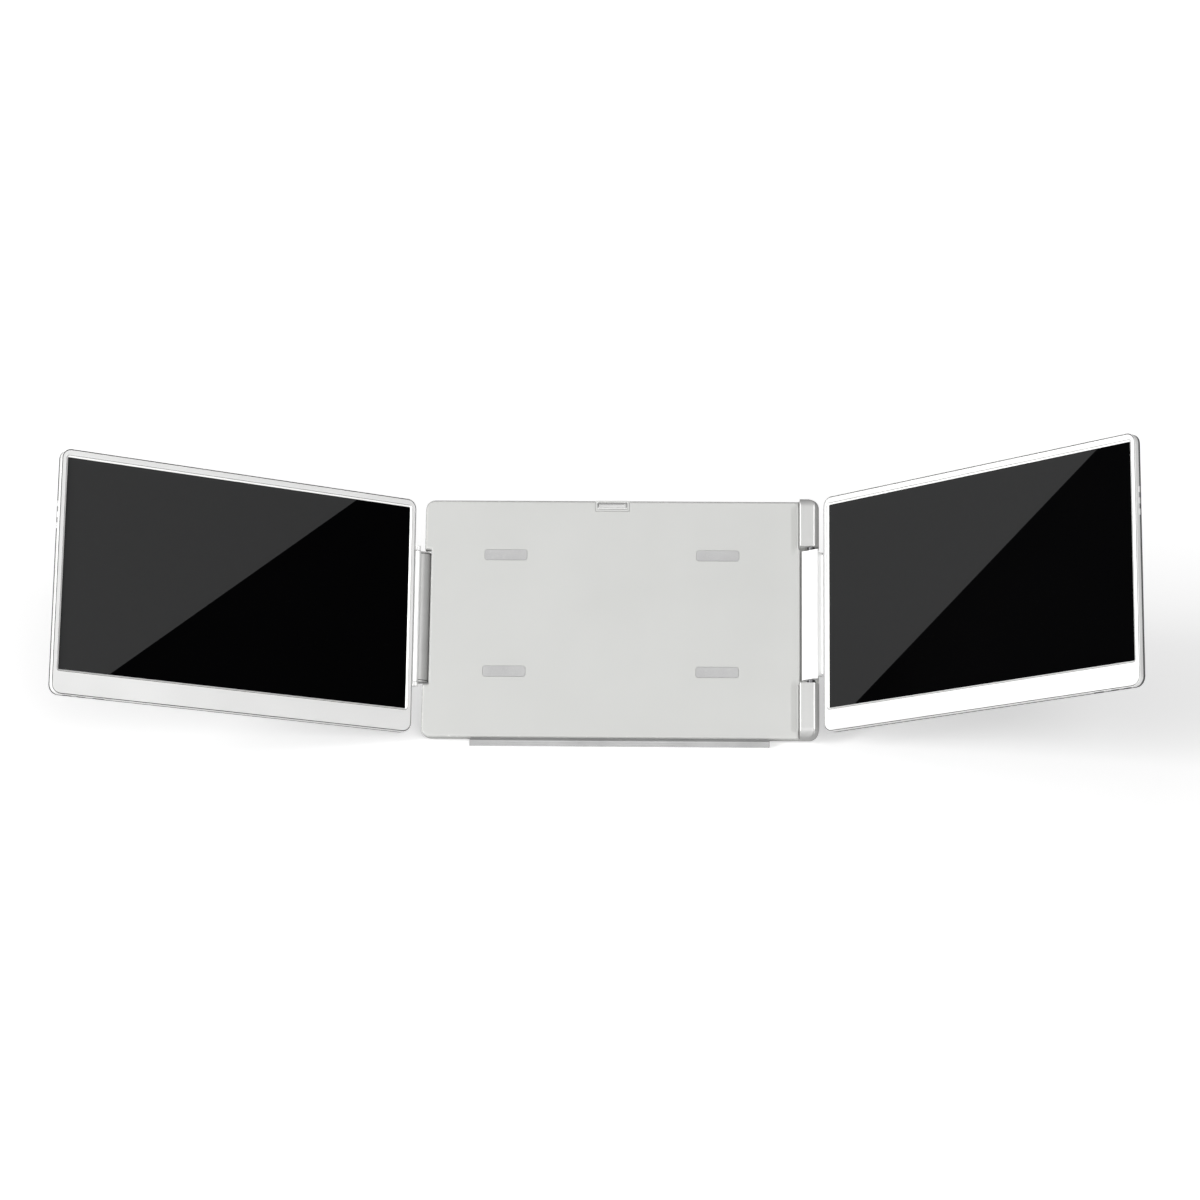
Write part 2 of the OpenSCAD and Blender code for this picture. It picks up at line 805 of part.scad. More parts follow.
module front_frame(tongues) {
  difference() {
    sheet(0, frame_d) case_outline();
    sheet(glass_y, frame_d) case_hollow(case_wall);
    sheet(-1, frame_d) picture(0);
    edge_openings();
    tongue_openings(tongues);
  }
}

module cover_glass() {
  sheet(glass_y, glass_t) picture(glass_margin);
}

module lcd_cell() {
  sheet(cell_y, cell_t) picture(0.5);
}

module backlight() {
  sheet(light_y, light_t) picture(0);
}

// Thin tray behind the backlight, with a rim round it
module carrier() {
  sheet(carrier_y, carrier_t) picture(1);
  sheet(cell_y, carrier_y - cell_y) difference() {
    picture(1);
    picture(0.6);
  }
}

module rear_shell() {
  difference() {
    sheet(shell_y, case_t - shell_y) case_outline();
    sheet(shell_y - 1, case_t - shell_y - case_wall + 1) case_hollow(case_wall);
    edge_openings();
    for (side = [0, 1], i = [0 : vent_count - 1])
      box(case_w / 2 + (side * 2 - 1) * speaker_x - vent_count * vent_pitch / 2 + i * vent_pitch,
          shell_y, vent_z, vent_w, case_t, vent_h);
    for (s = case_spots)
      translate([s[0], case_t + eps, s[1]]) rotate([90, 0, 0]) {
        cylinder(r = case_head_r, h = case_head_t + eps);
        cylinder(r = case_screw_r, h = case_wall + 2 * eps);
      }
  }
  for (s = case_spots)
    translate([s[0], case_t - case_wall, s[1]]) rotate([90, 0, 0]) difference() {
      cylinder(r = post_out_r, h = case_t - case_wall - frame_d + 1);
      translate([0, 0, -eps]) cylinder(r = case_screw_r, h = case_t);
    }
}

module case_screws() {
  for (s = case_spots)
    translate([s[0], 0, s[1]]) screw(case_t, case_head_r, case_head_t, case_screw_r, case_screw_l);
}

board_w = 80;
board_h = 14;
chip_w = 9;
chip_h = 8;
chip_t = 1.2;
chip_edge = 3;
chip_first = 6;
chip_pitch = 19;
port_board_in = 62;     // from the case's outer edge
port_board_w = 54;
port_board_h = 15;

// The picture board, between the speakers
module driver_board() {
  translate([(case_w - board_w) / 2, 0, board_z]) {
    sheet(board_y, board_t) square([board_w, board_h]);
    for (i = [0 : 3])
      box(chip_first + i * chip_pitch, board_y - chip_t, chip_edge, chip_w, chip_t, chip_h);
  }
}

// The board that carries the sockets
module port_board() {
  sheet(board_y, board_t)
    translate([case_w - port_board_in, board_z]) square([port_board_w, port_board_h]);
}

socket_wall = 0.4;
socket_back = 1;
blade_t = 0.7;
blade_side = 1.5;
blade_in = 0.8;         // blade's end inside the mouth

// A metal shell with a contact blade
module socket(w) {
  difference() {
    box(-port_l, 0, 0, port_l, port_t, w);
    box(socket_back - port_l, socket_wall, socket_wall,
        port_l, port_t - 2 * socket_wall, w - 2 * socket_wall);
  }
  box(socket_back / 2 - port_l, (port_t - blade_t) / 2, blade_side,
      port_l - socket_back / 2 - blade_in, blade_t, w - 2 * blade_side);
}

module usb_sockets() {
  at_low_port(outer_usb_x) socket(usb_w);
  at_low_port(low_usb_x) socket(usb_w);
}

module hdmi_socket() {
  at_low_port(hdmi_x) socket(hdmi_w);
}

speaker_x = 60;
speaker_w = 28;
speaker_h = 13;
speaker_z = 5.5;

module speakers() {
  for (side = [-1, 1])
    translate([case_w / 2 + side * speaker_x - speaker_w / 2, cell_y, speaker_z])
      cube([speaker_w, case_t - case_wall - cell_y, speaker_h]);
}

flange_side = 0.8;
flange_end = 1;

module button(i) {
  neck_x = flange_x + button_rim - eps;
  box(neck_x, button_y, button_zs[i], case_w + button_out - neck_x, button_t, button_l);
  box(flange_x, button_y - flange_side, button_zs[i] - flange_end,
      button_rim, button_t + 2 * flange_side, button_l + 2 * flange_end);
}

// The strip board behind the buttons, with a switch for each
module button_board() {
  z = button_zs[0] - side_board_h;
  h = button_zs[2] + button_l + side_board_h - z;
  box(switch_x - side_board_t, cell_y + eps, z, side_board_t, side_board_h, h);
  for (z = button_zs)
    box(switch_x, button_y, z + switch_end, switch_t, button_t, button_l - 2 * switch_end);
}

module left_front_frame() { color(frame_white) left_case() front_frame(left_tongues); }
module left_cover_glass() { color(glass_black) left_case() cover_glass(); }
module left_lcd_cell() { color(glass_black) left_case() lcd_cell(); }
module left_backlight() { color("white") left_case() backlight(); }
module left_carrier() { color(steel) left_case() carrier(); }
module left_rear_shell() { color(shell_grey) left_case() rear_shell(); }
module left_driver_board() { color(board_green) left_case() driver_board(); }
module left_port_board() { color(board_green) left_case() port_board(); }
module left_button_board() { color(board_green) left_case() button_board(); }
module left_usb_sockets() { color(steel) left_case() usb_sockets(); }
module left_hdmi_socket() { color(steel) left_case() hdmi_socket(); }
module left_speakers() { color(rubber_grey) left_case() speakers(); }
module left_case_screws() { color(dark_steel) left_case() case_screws(); }
module left_power_button() { color(silver) left_case() button(2); }
module left_plus_button() { color(silver) left_case() button(1); }
module left_minus_button() { color(silver) left_case() button(0); }
module right_front_frame() { color(frame_white) right_case() front_frame(right_tongues); }
module right_cover_glass() { color(glass_black) right_case() cover_glass(); }
module right_lcd_cell() { color(glass_black) right_case() lcd_cell(); }
module right_backlight() { color("white") right_case() backlight(); }
module right_carrier() { color(steel) right_case() carrier(); }
module right_rear_shell() { color(shell_grey) right_case() rear_shell(); }
module right_driver_board() { color(board_green) right_case() driver_board(); }
module right_port_board() { color(board_green) right_case() port_board(); }
module right_button_board() { color(board_green) right_case() button_board(); }
module right_usb_sockets() { color(steel) right_case() usb_sockets(); }
module right_hdmi_socket() { color(steel) right_case() hdmi_socket(); }
module right_speakers() { color(rubber_grey) right_case() speakers(); }
module right_case_screws() { color(dark_steel) right_case() case_screws(); }
module right_power_button() { color(silver) right_case() button(2); }
module right_plus_button() { color(silver) right_case() button(1); }
module right_minus_button() { color(silver) right_case() button(0); }

panel_front_cover();
panel_back_cover();
panel_stiffener();
panel_screws();
lid_pads();
upper_hinge_boss();
lower_hinge_boss();
boss_screws();
foot_strip();
left_hinge_arm();
left_hinge_pin();
left_hinge_washers();
left_hinge_knuckles();
right_hinge_leaf();
right_hinge_pin();
right_hinge_washers();
kickstand_plate();
kickstand_pin();
kickstand_brackets();
kickstand_foot();
clip_tab();
clip_hook();
clip_hook_pin();
clip_rails();
clip_retainer();
left_front_frame();
left_cover_glass();
left_lcd_cell();
left_backlight();
left_carrier();
left_rear_shell();
left_driver_board();
left_port_board();
left_button_board();
left_usb_sockets();
left_hdmi_socket();
left_speakers();
left_case_screws();
left_power_button();
left_plus_button();
left_minus_button();
right_front_frame();
right_cover_glass();
right_lcd_cell();
right_backlight();
right_carrier();
right_rear_shell();
right_driver_board();
right_port_board();
right_button_board();
right_usb_sockets();
right_hdmi_socket();
right_speakers();
right_case_screws();
right_power_button();
right_plus_button();
right_minus_button();
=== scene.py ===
import math

import bmesh
import bpy
from mathutils import Matrix, Vector


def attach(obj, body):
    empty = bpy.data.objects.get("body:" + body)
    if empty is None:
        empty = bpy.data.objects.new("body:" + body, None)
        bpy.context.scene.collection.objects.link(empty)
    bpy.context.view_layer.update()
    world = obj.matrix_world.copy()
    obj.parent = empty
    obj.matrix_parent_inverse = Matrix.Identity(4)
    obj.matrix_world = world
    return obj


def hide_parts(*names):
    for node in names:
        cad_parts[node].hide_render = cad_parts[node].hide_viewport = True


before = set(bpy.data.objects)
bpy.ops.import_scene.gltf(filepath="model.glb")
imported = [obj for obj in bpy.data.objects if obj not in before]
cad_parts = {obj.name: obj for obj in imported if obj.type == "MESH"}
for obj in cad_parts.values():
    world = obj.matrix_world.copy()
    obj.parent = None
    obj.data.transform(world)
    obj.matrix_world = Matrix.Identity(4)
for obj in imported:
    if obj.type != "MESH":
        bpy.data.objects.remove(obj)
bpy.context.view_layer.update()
print("frame loaded")

mm = 0.001
sharpAngle = 32

# where things stand

panel = dict(width=372.0, height=228.0, depth=12.0, corner=9.0, seam=8.0, edge=2.2, backEdge=1.8,
             notchLow=50.6, notchHigh=180.0, notchIn=6.0, notchCorner=0.9, wall=2.0, innerRight=165.8,
             lean=26.0, lift=6.8604, front=-3.0)
screen = dict(width=356.4, height=223.6, depth=8.0, corner=9.0, seam=5.0, wall=1.4, edge=0.3, backEdge=0.9,
              side=6.1, top=7.6, bottom=22.4, glassAt=1.6, bevel=1.4, rim=0.36, line=0.76, lineDeep=0.9,
              low=3.6)
leftHinge = dict(x=-192.3, y=-1.0, swing=32.0, reach=3.0, face=-0.5)
rightHinge = dict(x=178.5, y=-8.7, swing=-43.0, reach=15.0, face=0.3)

panelPlace = (Matrix.Translation((0, panel["front"] * mm, panel["lift"] * mm))
              @ Matrix.Rotation(math.radians(-panel["lean"]), 4, "X"))


def hingePlace(hinge):
    turn = Matrix.Rotation(math.radians(hinge["swing"]), 4, "Z")
    return panelPlace @ Matrix.Translation((hinge["x"] * mm, hinge["y"] * mm, 0)) @ turn


def casePlace(hinge, side):
    reach = hinge["reach"] * side
    return hingePlace(hinge) @ Matrix.Translation((reach * mm, hinge["face"] * mm, screen["low"] * mm))


# mesh helpers, in millimetres


def outline(corners, inset, depth, steps=6):
    # points round an upright outline whose corners are square, drawn inset from it at one depth
    points = []
    count = len(corners)
    for i in range(count):
        x, z, r = corners[i]
        before = corners[i - 1]
        after = corners[(i + 1) % count]
        goingIn = Vector((x - before[0], z - before[1])).normalized()
        goingOut = Vector((after[0] - x, after[1] - z)).normalized()
        convex = goingIn.cross(goingOut) > 0
        radius = max(r - inset if convex else r + inset, 0.05)
        side = Vector((-goingIn.y, goingIn.x)) + Vector((-goingOut.y, goingOut.x))
        centre = Vector((x, z)) + side * inset + (goingOut - goingIn) * radius
        for k in range(steps + 1):
            t = math.pi / 2 * k / steps
            p = centre - goingOut * radius * math.cos(t) + goingIn * radius * math.sin(t)
            points.append((p.x, depth, p.y))
    return points


def rectangle(x0, z0, x1, z1, r):
    return [(x0, z0, r), (x1, z0, r), (x1, z1, r), (x0, z1, r)]


def edgeRows(face, radius, towards, inset=0.0, steps=4, fade=0.0):
    # rows of (inset, depth, wear) from a side wall round to a face; towards is 1 where the wall lies deeper
    rows = [(inset, face + towards * (radius + fade), 0.0)] if fade else []
    for k in range(steps + 1):
        t = math.pi / 2 * k / steps
        rows.append((inset + radius * (1 - math.cos(t)), face + towards * radius * (1 - math.sin(t)),
                     1.0 if 0 < k < steps else 0.35))
    return rows + [(inset + radius + fade, face, 0.0)] if fade else rows


def slabRows(front, back, frontRadius, backRadius, inset=0.0, steps=4):
    return (list(reversed(edgeRows(front, frontRadius, 1, inset, steps)))
            + edgeRows(back, backRadius, -1, inset, steps))


class Skin:
    # rings of points joined into a skin, with a value for each ring that carries wear and painted light
    def __init__(self):
        self.mesh = bmesh.new()
        self.wearAndPaintedLight = self.mesh.verts.layers.float.new("wearAndPaintedLight")

    def ring(self, points, wearAndPaintedLight=0.0):
        made = []
        for p in points:
            v = self.mesh.verts.new(p)
            v[self.wearAndPaintedLight] = wearAndPaintedLight
            made.append(v)
        return made

    def join(self, rings, closed=False):
        pairs = list(zip(rings, rings[1:]))
        if closed:
            pairs.append((rings[-1], rings[0]))
        for a, b in pairs:
            for i in range(len(a)):
                j = (i + 1) % len(a)
                self.mesh.faces.new((a[i], a[j], b[j], b[i]))
        if not closed:
            self.mesh.faces.new(list(reversed(rings[0])))
            self.mesh.faces.new(rings[-1])

    def piece(self, name):
        bmesh.ops.remove_doubles(self.mesh, verts=self.mesh.verts, dist=0.0005)
        bmesh.ops.recalc_face_normals(self.mesh, faces=self.mesh.faces)
        data = bpy.data.meshes.new(name)
        self.mesh.to_mesh(data)
        self.mesh.free()
        made = bpy.data.objects.new(name, data)
        bpy.context.scene.collection.objects.link(made)
        return made


def slab(name, corners, rows, steps=6):
    # a solid drawn from one outline by rows of (inset, depth, wear and painted light)
    skin = Skin()
    skin.join([skin.ring(outline(corners, r[0], r[1], steps), r[2]) for r in rows])
    return skin.piece(name)


def hoop(name, rowsWithCorners, steps=6, closed=True):
    # rows of (corners, inset, depth, wear and painted light); a closed hoop ends where it starts
    skin = Skin()
    skin.join([skin.ring(outline(c, i, d, steps), w) for c, i, d, w in rowsWithCorners], closed)
    return skin.piece(name)


def post(name, plan, z0, z1, edge=0.4, steps=3, middle=()):
    # a plan outline of (x, y) points raised from z0 to z1, with rounded ends and rows of its own between them
    skin = Skin()
    rings = []
    rows = [(edge * (1 - math.sin(t)), z0 + edge * (1 - math.cos(t)))
            for t in [math.pi / 2 * k / steps for k in range(steps + 1)]]
    rows = [(inset, z, 0.8 if 0 < inset < edge else 0.2) for inset, z in rows]
    rows += list(middle) + [(inset, z1 - (z - z0), wearAndPaintedLight) for inset, z, wearAndPaintedLight in reversed(rows)]
    for inset, z, wearAndPaintedLight in rows:
        ring = []
        for i in range(len(plan)):
            a = Vector(plan[i - 1])
            b = Vector(plan[i])
            c = Vector(plan[(i + 1) % len(plan)])
            d1 = (b - a).normalized()
            d2 = (c - b).normalized()
            n1 = Vector((-d1.y, d1.x))
            n2 = Vector((-d2.y, d2.x))
            bisector = (n1 + n2).normalized()
            p = b + bisector * (inset / max(bisector.dot(n1), 0.35))
            ring.append((p.x, p.y, z))
        rings.append(skin.ring(ring, wearAndPaintedLight))
    skin.join(rings)
    return skin.piece(name)


def arc(cx, cy, r, fromAngle, toAngle, steps=8):
    angles = [math.radians(fromAngle + (toAngle - fromAngle) * k / steps) for k in range(steps + 1)]
    return [(cx + r * math.cos(angle), cy + r * math.sin(angle)) for angle in angles]


def lathe(name, rows, sides, wearAndPaintedLight):
    # a solid turned about X by rows of (x, radius)
    skin = Skin()
    turns = [2 * math.pi * k / sides for k in range(sides)]
    skin.join([skin.ring([(x, r * math.cos(a), r * math.sin(a)) for a in turns], wearAndPaintedLight) for x, r in rows])
    return skin.piece(name)


def roundBar(name, r, length, edge, sides=48):
    # a bar along X from 0, with rounded ends
    rows = [(0, r - edge), (edge * 0.3, r - edge * 0.3), (edge, r)]
    rows += [(length - x, radius) for x, radius in reversed(rows)]
    return lathe(name, rows, sides, 0.4)


def solidify(piece):
    # takes the result of the piece's modifiers as its mesh
    depsgraph = bpy.context.evaluated_depsgraph_get()
    data = bpy.data.meshes.new_from_object(piece.evaluated_get(depsgraph))
    piece.modifiers.clear()
    old = piece.data
    piece.data = data
    bpy.data.meshes.remove(old)
    return piece


def combine(piece, others, operation):
    for other in others:
        step = piece.modifiers.new("shape", "BOOLEAN")
        step.operation = operation
        step.solver = "EXACT"
        step.object = other
    solidify(piece)
    for other in others:
        data = other.data
        bpy.data.objects.remove(other)
        bpy.data.meshes.remove(data)
    return piece


def cut(piece, others):
    return combine(piece, others, "DIFFERENCE")


def unite(piece, others):
    return combine(piece, others, "UNION")


def moved(piece, x=0, y=0, z=0):
    piece.data.transform(Matrix.Translation((x, y, z)))
    return piece


def markWearAndLight(piece, picks, value):
    # gives the points that the test picks a value for wear and painted light
    marks = piece.data.attributes["wearAndPaintedLight"].data
    for i, v in enumerate(piece.data.vertices):
        if picks(v.co):
            marks[i].value = value
    return piece


def block(x0, y0, z0, x1, y1, z1, r=0.3, edge=0.15, axis="Y"):
    # a rounded block whose outline faces along the axis
    if axis == "Y":
        return slab("block", rectangle(x0, z0, x1, z1, r), slabRows(y0, y1, edge, edge, steps=2), 4)
    if axis == "X":
        made = slab("block", rectangle(y0, z0, y1, z1, r), slabRows(-x1, -x0, edge, edge, steps=2), 4)
        return swapAxes(made, "X")
    made = slab("block", rectangle(x0, y0, x1, y1, r), slabRows(-z1, -z0, edge, edge, steps=2), 4)
    return swapAxes(made, "Z")


def swapAxes(piece, axis):
    # from outline in X and Z with depth Y: "X" gives outline in Y and Z, "Z" gives outline in X and Y
    if axis == "X":
        table = Matrix(((0, -1, 0, 0), (1, 0, 0, 0), (0, 0, 1, 0), (0, 0, 0, 1)))
    else:
        table = Matrix(((1, 0, 0, 0), (0, 0, 1, 0), (0, -1, 0, 0), (0, 0, 0, 1)))
    piece.data.transform(table)
    return piece


def place(piece, name, where, body, material, nodes, mirrored=False):
    # scales a piece to metres, shades it, and gives it its place, body, finish and nodes
    data = piece.data
    if mirrored:
        data.transform(Matrix.Scale(-1, 4, (1, 0, 0)))
        data.flip_normals()
    data.transform(Matrix.Scale(mm, 4))
    for face in data.polygons:
        face.use_smooth = True
    data.set_sharp_from_angle(angle=math.radians(sharpAngle))
    even = piece.modifiers.new("evenShading", "WEIGHTED_NORMAL")
    even.keep_sharp = True
    even.weight = 80
    solidify(piece)
    piece.name = name
    piece.data.name = name
    piece.data.materials.clear()
    piece.data.materials.append(material)
    piece.matrix_world = where
    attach(piece, body)
    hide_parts(*nodes)


# materials


def group(name, inputs, outputs):
    # a shader node group with named number or vector sockets
    tree = bpy.data.node_groups.new(name, "ShaderNodeTree")
    for label, kind, value in inputs:
        socket = tree.interface.new_socket(name=label, in_out="INPUT", socket_type=kind)
        socket.default_value = value
    for label, kind in outputs:
        tree.interface.new_socket(name=label, in_out="OUTPUT", socket_type=kind)
    start = tree.nodes.new("NodeGroupInput")
    end = tree.nodes.new("NodeGroupOutput")
    return tree, start, end


def node(tree, kind, links=(), **settings):
    # adds a node, sets its properties and sockets, and links what is given as (socket, source)
    made = tree.nodes.new(kind)
    for key, value in settings.items():
        if hasattr(made, key):
            setattr(made, key, value)
        else:
            made.inputs[key].default_value = value
    for socket, source in links:
        tree.links.new(source, made.inputs[socket])
    return made


def ranged(tree, value, fromLow, fromHigh, low, high):
    made = node(tree, "ShaderNodeMapRange", [("Value", value)])
    for label, limit in (("From Min", fromLow), ("From Max", fromHigh), ("To Min", low), ("To Max", high)):
        made.inputs[label].default_value = limit
    return made.outputs["Result"]


def noise(tree, where, links=(), **settings):
    made = node(tree, "ShaderNodeTexNoise", [("Vector", where), *links], **settings)
    return made.outputs["Fac"]


def sums(tree, operation, links, numbers=()):
    # a math node with its links and plain numbers given by socket
    made = node(tree, "ShaderNodeMath", links, operation=operation)
    for socket, number in numbers:
        made.inputs[socket].default_value = number
    return made.outputs[0]


def fineGrainGroup():
    # the fine orange-peel of sprayed paint or moulded plastic, and slow cloudiness
    tree, start, end = group("fineGrain",
                             [("Scale", "NodeSocketFloat", 900.0), ("Cloud Scale", "NodeSocketFloat", 14.0)],
                             [("Height", "NodeSocketFloat"), ("Tone", "NodeSocketFloat")])
    where = node(tree, "ShaderNodeTexCoord").outputs["Object"]
    fine = noise(tree, where, [("Scale", start.outputs["Scale"])], Detail=3.0, Roughness=0.55)
    cloud = noise(tree, where, [("Scale", start.outputs["Cloud Scale"])], Detail=2.0)
    mixed = sums(tree, "MULTIPLY", [(0, fine)], [(1, 0.45)])
    tree.links.new(fine, end.inputs["Height"])
    both = sums(tree, "MULTIPLY_ADD", [(0, cloud), (2, mixed)], [(1, 0.55)])
    tree.links.new(both, end.inputs["Tone"])
    return tree


def edgeWearAndLightGroup():
    # masks from the value that the mesh carries: up to 1 an edge rubbed in patches, 2 a bright edge, partly a
    # polished cut and partly a painted highlight,
    # -1 painted shade in a gap or groove
    tree, start, end = group("edgeWearAndLight",
                             [("Scale", "NodeSocketFloat", 240.0), ("Spread", "NodeSocketFloat", 0.5)],
                             [("Mask", "NodeSocketFloat"), ("GapShade", "NodeSocketFloat")])
    where = node(tree, "ShaderNodeTexCoord").outputs["Object"]
    marked = node(tree, "ShaderNodeAttribute", attribute_name="wearAndPaintedLight").outputs["Fac"]
    patches = noise(tree, where, [("Scale", start.outputs["Scale"])], Detail=5.0, Roughness=0.65)
    limit = sums(tree, "SUBTRACT", [(1, start.outputs["Spread"])], [(0, 1.0)])
    above = node(tree, "ShaderNodeMapRange", [("Value", patches), ("From Min", limit)])
    above.inputs["From Max"].default_value = 0.85
    rubbed = sums(tree, "MULTIPLY", [(0, above.outputs["Result"]), (1, marked)])
    rubbed.node.use_clamp = True
    cutEdgeAndHighlight = ranged(tree, marked, 1.0, 2.0, 0.0, 1.0)
    tree.links.new(sums(tree, "MAXIMUM", [(0, rubbed), (1, cutEdgeAndHighlight)]), end.inputs["Mask"])
    tree.links.new(ranged(tree, marked, 0.0, -1.0, 0.0, 1.0), end.inputs["GapShade"])
    return tree


def brushedGroup():
    # fine lines along one direction of the piece
    tree, start, end = group("brushedLines", [("Along", "NodeSocketVector", (20.0, 2600.0, 2600.0))],
                             [("Height", "NodeSocketFloat"), ("Tone", "NodeSocketFloat")])
    where = node(tree, "ShaderNodeTexCoord").outputs["Object"]
    stretched = node(tree, "ShaderNodeVectorMath", [(0, where), (1, start.outputs["Along"])],
                     operation="MULTIPLY")
    lines = noise(tree, stretched.outputs[0], Scale=1.0, Detail=4.0)
    slow = noise(tree, where, Scale=22.0)
    tone = sums(tree, "ADD", [(0, lines), (1, slow)])
    tree.links.new(lines, end.inputs["Height"])
    tree.links.new(sums(tree, "MULTIPLY", [(0, tone)], [(1, 0.5)]), end.inputs["Tone"])
    return tree


paintedGapShade = (0.02, 0.02, 0.02)
fineGrain = fineGrainGroup()
edgeWearAndLight = edgeWearAndLightGroup()
brushedLines = brushedGroup()


def useGroup(tree, shared, **values):
    made = tree.nodes.new("ShaderNodeGroup")
    made.node_tree = shared
    for key, value in values.items():
        made.inputs[key].default_value = value
    return made


def between(tree, factor, low, high):
    # a colour between two, by a value that changes over the surface
    mix = tree.nodes.new("ShaderNodeMix")
    mix.data_type = "RGBA"
    tree.links.new(factor, mix.inputs["Factor"])
    for socket, value in ((mix.inputs[6], low), (mix.inputs[7], high)):
        if isinstance(value, bpy.types.NodeSocket):
            tree.links.new(value, socket)
        else:
            socket.default_value = (*value, 1.0)
    return mix.outputs[2]


def finish(name, dark, light, rough, metallic=0.0, grain=900.0, cloud=14.0, bump=0.02, distance=0.0001,
           wornAndHighlit=None, wearSpread=0.5, brushed=None, coat=0.0, coatRough=0.2, specular=0.5, sheen=0.0):
    # one surface: colour between two tones, roughness range, grain or brushing in its bump, and worn edges,
    # with painted highlights and painted gap shade where the mesh marks them
    made = bpy.data.materials.new(name)
    made.use_nodes = True
    tree = made.node_tree
    surface = tree.nodes["Principled BSDF"]
    if brushed:
        pattern = useGroup(tree, brushedLines, Along=brushed)
    else:
        pattern = useGroup(tree, fineGrain, Scale=grain, **{"Cloud Scale": cloud})
    tone = pattern.outputs["Tone"]
    colour = between(tree, ranged(tree, tone, 0.35, 0.65, 0.0, 1.0), dark, light)
    roughness = ranged(tree, tone, 0.35, 0.65, rough[0], rough[1])
    if wornAndHighlit:
        wearAndPaintedLight = useGroup(tree, edgeWearAndLight, Spread=wearSpread)
        colour = between(tree, wearAndPaintedLight.outputs["Mask"], colour, wornAndHighlit)
        colour = between(tree, wearAndPaintedLight.outputs["GapShade"], colour, paintedGapShade)
    tree.links.new(colour, surface.inputs["Base Color"])
    tree.links.new(roughness, surface.inputs["Roughness"])
    for label, value in (("Metallic", metallic), ("Specular IOR Level", specular), ("Coat Weight", coat),
                         ("Coat Roughness", coatRough), ("Sheen Weight", sheen)):
        surface.inputs[label].default_value = value
    raised = node(tree, "ShaderNodeBump", [("Height", pattern.outputs["Height"])], Strength=bump,
                  Distance=distance)
    tree.links.new(raised.outputs["Normal"], surface.inputs["Normal"])
    return made


